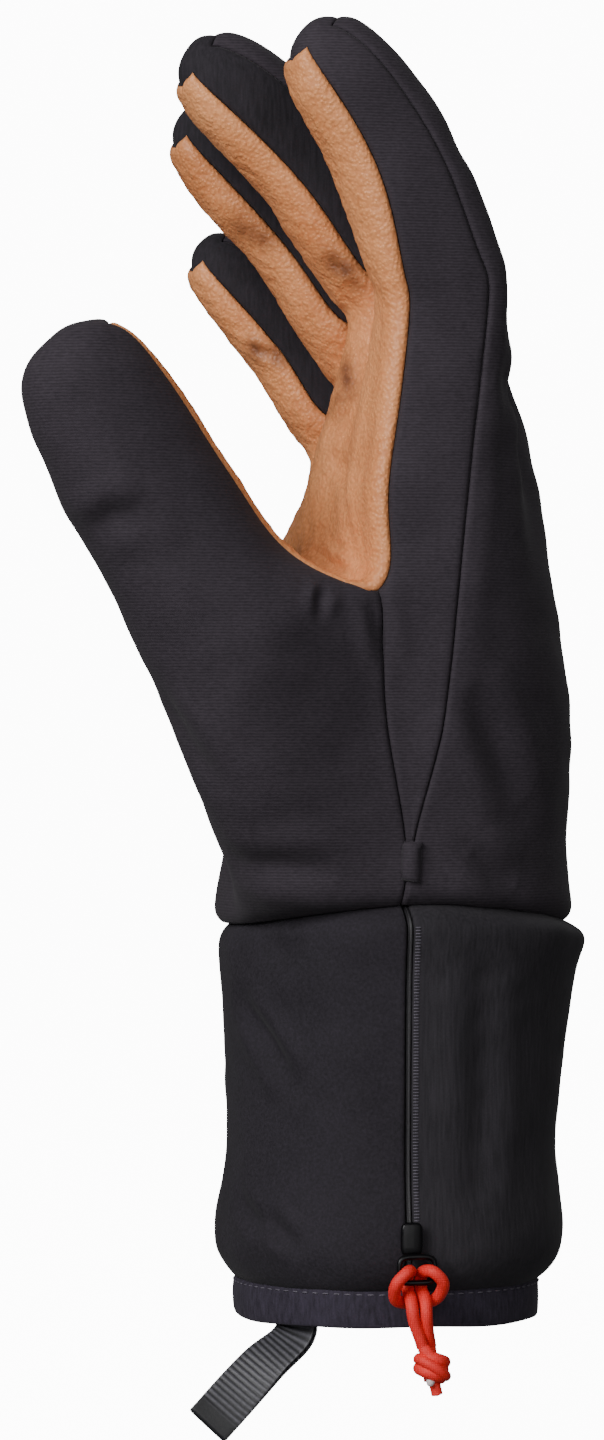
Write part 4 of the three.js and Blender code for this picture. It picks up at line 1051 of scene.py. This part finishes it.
# %% Cuff
# drop, palm, back, side
CUFF_ROWS = [
    (0.035, 0.94, 1.14, 1.02), (0.14, 0.95, 1.08, 1.01), (0.33, 0.93, 1.02, 0.99), (0.52, 0.91, 0.99, 0.98),
    (0.69, 0.92, 0.99, 0.98), (0.86, 0.98, 1.02, 1.01), (0.95, 0.95, 0.98, 0.98), (1.0, 0.88, 0.89, 0.91),
]
ZIP_WIDTH, ZIP_SUNK = 1.3, 0.6


def cuff_ring(drop, palm, back, side):
    lifted = CREASE_RISE * np.maximum(0, -np.sin(wrist_angle)) ** 2 * (1 - drop) ** 3
    half = CUFF_DEPTH / 2
    return oval(wrist_angle, palm * half, back * half, side * CUFF_BREADTH / 2,
                HEM_HEIGHT + CUFF_HEIGHT * (1 - drop) + lifted)


HEM_TURN_IN, CREASE_TURN_IN = (1.022, 0.79, 0.80, 0.83), (CREASE_TUCK + 2.6, 1.6)
cuff_rings = [cuff_ring(*row) for row in [HEM_TURN_IN] + CUFF_ROWS[::-1]]
cuff_rings.append(wrist_ring(CREASE_TURN_IN[0]) + [0, 0, CREASE_TURN_IN[1]])
for ring in cuff_rings:
    ring[0, 0], ring[FIRST_BACK, 0] = ZIP_PLACE - ZIP_WIDTH / 2, ZIP_PLACE + ZIP_WIDTH / 2
cuff_faces = grid_faces(len(cuff_rings), TRUNK_COLUMNS, closed_columns=True)
cuff_column = cuff_faces[:, 0] % TRUNK_COLUMNS
CUFF_BACK, CUFF_PALM, ZIP_STRIP = 0, 1, 2
cuff_panels = np.where(cuff_column == 0, ZIP_STRIP, np.where(cuff_column < ULNAR_SEAM, CUFF_BACK, CUFF_PALM))
cuff, cuff_faces, cuff_panels = rounded(np.vstack(cuff_rings), cuff_faces, cuff_panels, LEVELS, 6)
cuff, cuff_out, cuff_edges, seam_way, calm = sewn(cuff, cuff_faces, cuff_panels, 8.0)
height = 0.32 * waves(cuff, 13, 14, 26) * (0.3 + 0.7 * calm) + 0.08 * waves(cuff, 14, 14, 9) * calm
height -= rolled_in(seam_way, 0.4, 1.0)
height += folded(cuff, cuff_out, CUFF_FOLDS)
cuff, cuff_out = raised(cuff, cuff_faces, cuff_edges, cuff_out, height)
for number, panel, finish, slot in ((CUFF_BACK, "cuff_back", RIBBED, "ribbed_softshell"),
                                    (CUFF_PALM, "cuff_palm", CUFF_SOFTSHELL, "softshell"),
                                    (ZIP_STRIP, "zip_chain", COIL, "zip")):
    points, faces, used = cut_panel(cuff, cuff_out, cuff_faces[cuff_panels == number], CLOTH_WALL)
    if number == ZIP_STRIP:
        points -= np.tile(cuff_out[used], (2, 1)) * ZIP_SUNK
    new_piece(panel + "_cloth", points, faces, [panel], finish)

# %% [markdown]
# ## The hem
# A smooth bound edge: a band folded round the cuff's lower edge and stitched down with one row of
# stitches. Its section is a closed profile with a rounded lower fold, carried round an oval.

# %% Hem band
HEM_WALL, HEM_GAP, HEM_SQUARENESS = 2.0, 0.3, 0.35
HEM_SECTION_POINTS, HEM_TURNS = 40, 260


def hem_band():
    """Profile round a flat rounded bar, carried round the hem's oval. It swells a little on its outer
    side, unevenly, and its lower edge sags in slow waves."""
    turn = np.linspace(0, 2 * math.pi, HEM_SECTION_POINTS, endpoint=False)
    half_height = (HEM_HEIGHT - HEM_GAP) / 2
    depth = squared(np.cos(turn), HEM_SQUARENESS) * HEM_WALL / 2
    rise = squared(np.sin(turn), HEM_SQUARENESS) * half_height
    angle = np.linspace(0, 2 * math.pi, HEM_TURNS, endpoint=False)
    a, d = np.meshgrid(angle, depth, indexing="ij")
    z = np.broadcast_to(rise + half_height, a.shape)
    swell = (0.25 + 0.12 * np.sin(a * 9 + 1)) * np.sin(math.pi * z / HEM_HEIGHT)
    reach = d - HEM_WALL / 2 + np.where(d > 0, swell, 0)
    sag = (0.25 * np.sin(3 * a + 0.5) + 0.15 * np.sin(7 * a)) * (1 - z / HEM_HEIGHT)
    x, y = (HEM_DEPTH / 2 + reach) * np.cos(a), (HEM_BREADTH / 2 + reach) * np.sin(a)
    return np.stack([x, y, z + sag], -1)


hem = hem_band()
hem_faces = grid_faces(HEM_TURNS, HEM_SECTION_POINTS, closed_rows=True, closed_columns=True)
new_piece("hem_binding", hem.reshape(-1, 3), hem_faces[:, ::-1], ["hem_band"], BINDING)

# %% [markdown]
# ## Stitches
# One row of light stitches holds the hem, and short bars of thread cross the edge of the cloth beside
# the zip. Each is a small closed capsule of a few dozen faces, laid on the cloth and joined into one mesh.

# %% Stitches
STITCH_ROUND, STITCH_ALONG = 6, 5


def stitches(starts, ends, thickness):
    """Capsules from starts to ends: rings whose radius follows a half circle at both ends."""
    way = ends - starts
    share = np.array([0.0, 0.12, 0.5, 0.88, 1.0])
    swell = np.array([0.25, 0.8, 1.0, 0.8, 0.25])
    beside = unit(np.cross(way, np.array([0.1, 0.2, 1.0])))
    above = unit(np.cross(way, beside))
    turn = np.arange(STITCH_ROUND) * 2 * math.pi / STITCH_ROUND
    ring = (np.cos(turn)[:, None, None] * beside + np.sin(turn)[:, None, None] * above) * thickness / 2
    points = (starts + way * share[:, None, None])[:, None] + swell[:, None, None, None] * ring[None]
    points = points.transpose(2, 0, 1, 3)
    one = grid_faces(STITCH_ALONG, STITCH_ROUND, closed_columns=True)
    last = (STITCH_ALONG - 1) * STITCH_ROUND
    caps = np.array([[3, 2, 1, 0], [5, 4, 3, 0], [last, last + 1, last + 2, last + 3],
                     [last, last + 3, last + 4, last + 5]])
    one = np.vstack([one, caps])
    count = STITCH_ALONG * STITCH_ROUND
    faces = (one[None] + np.arange(len(starts))[:, None, None] * count).reshape(-1, 4)
    return points.reshape(-1, 3), faces


HEM_STITCHES, HEM_STITCH_HEIGHT, HEM_STITCH_SHARE, STITCH_OUT = 84, 7.2, 0.55, 0.12
HEM_THREAD, ZIP_THREAD = 0.4, 0.3
stitch_turn = np.arange(HEM_STITCHES) * 2 * math.pi / HEM_STITCHES
half_stitch = math.pi / HEM_STITCHES * HEM_STITCH_SHARE


def hem_place(angle):
    """On the hem's outer face, at the height of its row of stitches."""
    half_depth, half_breadth = HEM_DEPTH / 2 + STITCH_OUT, HEM_BREADTH / 2 + STITCH_OUT
    return oval(angle, half_depth, half_depth, half_breadth, HEM_STITCH_HEIGHT)


points, faces = stitches(hem_place(stitch_turn - half_stitch), hem_place(stitch_turn + half_stitch),
                         HEM_THREAD)
new_piece("hem_stitches", points, faces, (), THREAD)

ZIP_TICK_PITCH, ZIP_TICK_LENGTH, ZIP_TICK_LOW = 0.65, 1.2, 14
tick_heights = np.arange(HEM_HEIGHT + ZIP_TICK_LOW, CREASE_HEIGHT + 1, ZIP_TICK_PITCH)


def on_cuff(x, heights):
    """Where the cuff's outer face on the zip side is at this x and these heights."""
    front = np.flatnonzero((cuff_out[:, 1] < -0.5) & (np.abs(cuff[:, 0] - x) < 3))
    way = (cuff[front, 0] - x) ** 2 + (cuff[front, 2] - heights[:, None]) ** 2
    near = front[np.argmin(way, axis=1)]
    return np.stack([np.full(len(heights), x), cuff[near, 1] - STITCH_OUT, heights], -1)


tick_start = ZIP_PLACE + ZIP_WIDTH / 2 + 0.35
points, faces = stitches(on_cuff(tick_start, tick_heights),
                         on_cuff(tick_start + ZIP_TICK_LENGTH, tick_heights), ZIP_THREAD)
new_piece("zip_edge_threads", points, faces, (), THREAD)

# %% [markdown]
# ## Slider and ring
# A small black slider closes the zip just above the hem; a ring hangs in front of it for the cord.
# The slider is a cushion-shaped block, the ring a round wire bent to a rounded rectangle.

# %% Slider and ring
SLIDER_LENGTH, SLIDER_WIDTH, SLIDER_THICKNESS = 7.0, 4.6, 1.8
SLIDER_FRONT, SLIDER_HEIGHT, SLIDER_DROP = -41.54, 17.7, 1.8
RING_WIDTH, RING_HEIGHT, RING_BAR = 8.8, 6.6, 1.2
RING_STEPS, WIRE_SIDES = 97, 16


def cushion_block(middle, size, power, rows=24, turns=36):
    """A superellipsoid: a ball whose sines and cosines are raised to a small power, so it squares up."""
    up = np.linspace(-math.pi / 2, math.pi / 2, rows)[:, None]
    turn = np.linspace(0, 2 * math.pi, turns, endpoint=False)[None, :]
    x = squared(np.cos(up), power) * squared(np.cos(turn), power)
    y = squared(np.cos(up), power) * squared(np.sin(turn), power)
    z = squared(np.sin(up), power) * np.ones_like(turn)
    points = np.stack([x, y, z], -1) * np.array(size) / 2 + np.array(middle)
    return points.reshape(-1, 3), grid_faces(rows, turns, closed_columns=True)


slider_points, slider_faces = cushion_block(
    (ZIP_PLACE, SLIDER_FRONT + SLIDER_THICKNESS / 2, SLIDER_HEIGHT + SLIDER_LENGTH / 2 - SLIDER_DROP),
    (SLIDER_WIDTH, SLIDER_THICKNESS, SLIDER_LENGTH), 0.45)
new_piece("zip_slider_body", slider_points, slider_faces, ["zip_slider"], METAL)
turn = np.linspace(0, 2 * math.pi, RING_STEPS)
ring_line = np.stack([
    ZIP_PLACE + RING_SHIFT + squared(np.cos(turn), 0.5) * (RING_WIDTH - RING_BAR) / 2,
    np.full(RING_STEPS, RING_FRONT),
    BAR_HEIGHT + (1 + squared(np.sin(turn), 0.5)) * (RING_HEIGHT - RING_BAR) / 2], -1)
tube_piece("zip_ring_wire", ring_line, np.full((RING_STEPS, WIRE_SIDES), RING_BAR / 2), WIRE_SIDES,
           ["zip_ring"], METAL)

# %% [markdown]
# ## Hanging ribbon
# A doubled length of ribbed ribbon is caught in the hem and hangs out as a loop, with its fold at the free
# end. Its middle line leaves the inside of the hem and swings out; the two layers lie on either side of it
# and turn into each other round the fold. Its ribs are real low ridges across it, with painted highlights on
# their crests and painted shade between them.

# %% Ribbon
RIBBON_WIDTH, RIBBON_THICKNESS, RIBBON_FOLD_GAP = 10.0, 0.7, 0.5
RIBBON_ANGLE, RIBBON_CLEARANCE = -149.5 * DEGREE, 2.4
RIBBON_RIB, RIB_SINK, PLAIN_END, PLAIN_EASE = 1.25, 0.32, 4.0, 1.0
RIBBON_SECTION, RIBBON_STEP = 28, 0.15
# down in millimetres, out and forward as shares of the hem's half depth
RIBBON_ROUTE = [(-5, 0, 0), (2.5, 0.02, 0.01), (9, 0.25, 0.04), (20.5, 0.6, 0.07)]
RIBBON_END_BREADTH = np.array([0.8, -0.2, -0.57])


def ribbon_layers():
    """Middle line, breadth direction and outward direction of the two layers and the fold between."""
    inset = HEM_WALL + RIBBON_CLEARANCE + RIBBON_FOLD_GAP / 2 + RIBBON_THICKNESS
    half = HEM_DEPTH / 2
    top = oval(np.array([RIBBON_ANGLE]), half - inset, half - inset, HEM_BREADTH / 2 - inset, 0)[0]
    route = np.array([[top[0] - out * half, top[1] - forward * half, -down]
                      for down, out, forward in RIBBON_ROUTE])
    line = smooth_path(route, RIBBON_STEP)[0]
    share = np.linspace(0, 1, len(line))[:, None]
    along = unit(np.gradient(line, axis=0))
    hemwise = np.array([-math.sin(RIBBON_ANGLE), math.cos(RIBBON_ANGLE), 0])
    across = hemwise + (RIBBON_END_BREADTH / np.linalg.norm(RIBBON_END_BREADTH) - hemwise) * share
    across = unit(across - along * (across * along).sum(1, keepdims=True))
    out = np.cross(along, across)
    spacing = (RIBBON_FOLD_GAP + RIBBON_THICKNESS) / 2
    bend = np.linspace(0, math.pi, 18)[1:-1, None]
    fold_out = np.cos(bend) * out[-1] + np.sin(bend) * along[-1]
    place = np.vstack([line + spacing * out, line[-1] + spacing * fold_out, (line - spacing * out)[::-1]])
    breadth = np.vstack([across, np.repeat(across[-1:], len(bend), 0), across[::-1]])
    facing = np.vstack([out, fold_out, -out[::-1]])
    return place, breadth, facing


ribbon_place, ribbon_breadth, ribbon_facing = ribbon_layers()
section = np.linspace(0, 2 * math.pi, RIBBON_SECTION, endpoint=False)
flat_x = squared(np.cos(section), 0.3) * RIBBON_WIDTH / 2
flat_y = squared(np.sin(section), 0.5)
steps = np.linalg.norm(np.diff(ribbon_place, axis=0, prepend=ribbon_place[:1]), axis=1).cumsum()
fold_way = np.abs(steps - steps[-1] / 2)
ribbed = np.clip((fold_way - PLAIN_END) / PLAIN_EASE, 0, 1)
rib_wave = 0.5 * np.cos(2 * math.pi * steps / RIBBON_RIB)
thick = RIBBON_THICKNESS / 2 * (1 - RIB_SINK * ribbed * (0.5 + rib_wave))
ribbon_points = (ribbon_place[:, None] + ribbon_breadth[:, None] * flat_x[None, :, None]
                 + ribbon_facing[:, None] * (thick[:, None] * flat_y[None, :])[..., None])
rows = len(ribbon_place)
ribbon_faces = grid_faces(rows, RIBBON_SECTION, closed_columns=True)
half_section = RIBBON_SECTION // 2
left = np.arange(half_section)
cap = np.stack([left, left + 1, RIBBON_SECTION - 1 - left, (RIBBON_SECTION - left) % RIBBON_SECTION], -1)[:-1]
ribbon_faces = np.vstack([ribbon_faces, cap[:, ::-1], cap + (rows - 1) * RIBBON_SECTION])
ribbon = new_piece("hanging_ribbon", ribbon_points.reshape(-1, 3), ribbon_faces,
                   ["hang_loop"], RIBBON)
# The rib crests painted paler and the hollows between ribs darker: painted highlight and painted shade.
set_values(ribbon, "rib_highlight", np.repeat(ribbed * (0.5 - rib_wave), RIBBON_SECTION))

# %% [markdown]
# ## Studio
# The glove hangs over a plain pale floor that curves up into a round pale wall, both glowing a little. A
# wide soft light stands in front on the left, so that the thumb side is lit and the back of the hand
# falls into shade.

# %% Studio
FLOOR_HEIGHT = -0.034
WALL_REACH, WALL_BEND, WALL_TOP = 5.0, 1.0, 7.0
BEND_STEPS, WALL_TURNS, PAPER_GLOW = 12, 96, 12.0


def backdrop():
    """A round floor whose rim bends up into a wall all round: a profile turned about the glove."""
    bend = np.linspace(0, math.pi / 2, BEND_STEPS)
    reach = np.concatenate([[1e-5], WALL_REACH + WALL_BEND * np.sin(bend), [WALL_REACH + WALL_BEND]])
    rise = np.concatenate([[0], WALL_BEND * (1 - np.cos(bend)), [WALL_TOP]])
    turn = np.linspace(0, 2 * math.pi, WALL_TURNS, endpoint=False)
    points = np.stack([reach[:, None] * np.cos(turn), reach[:, None] * np.sin(turn),
                       np.repeat(rise[:, None] + FLOOR_HEIGHT, len(turn), axis=1)], -1)
    return points.reshape(-1, 3), grid_faces(len(reach), len(turn), closed_columns=True)


floor_points, floor_faces = backdrop()
floor_mesh = bpy.data.meshes.new("studio_floor")
floor_mesh.from_pydata(floor_points.tolist(), [], floor_faces.tolist())
floor_mesh.polygons.foreach_set("use_smooth", np.ones(len(floor_faces), dtype=bool))
floor = bpy.data.objects.new("studio_floor", floor_mesh)
bpy.context.scene.collection.objects.link(floor)
paper = Finish("studio_paper")
paper.wear(srgb(244, 244, 245), 0.9, None)
paper.surface.inputs["Emission Color"].default_value = (1, 1, 1, 1)
paper.surface.inputs["Emission Strength"].default_value = PAPER_GLOW
floor_mesh.materials.append(paper.material)
floor.visible_diffuse = False
floor.visible_glossy = False


def soft_light(name, place, aim, size, power):
    """A square area light at place, turned to face aim."""
    data = bpy.data.lights.new(name, "AREA")
    data.shape = "SQUARE"
    data.size = size
    data.energy = power
    light = bpy.data.objects.new(name, data)
    light.location = place
    way = np.array(aim, dtype=float) - place
    way /= np.linalg.norm(way)
    light.rotation_euler = (math.acos(-way[2]), 0, math.atan2(way[0], -way[1]) + math.pi)
    bpy.context.scene.collection.objects.link(light)


AIM = (-0.01, 0, 0.13)
soft_light("key_light", np.array([-1.3, -1.1, 0.9]), AIM, 1.0, 34)
soft_light("front_light", np.array([-0.1, -1.7, 0.35]), AIM, 1.2, 8)
soft_light("far_light", np.array([0.9, 0.8, 0.9]), AIM, 0.8, 2)
world = bpy.data.worlds.new("studio_air")
world.use_nodes = True
world.node_tree.nodes["Background"].inputs["Color"].default_value = (1, 1, 1, 1)
world.node_tree.nodes["Background"].inputs["Strength"].default_value = 0.1
bpy.context.scene.world = world
print("lights", len(bpy.data.lights))
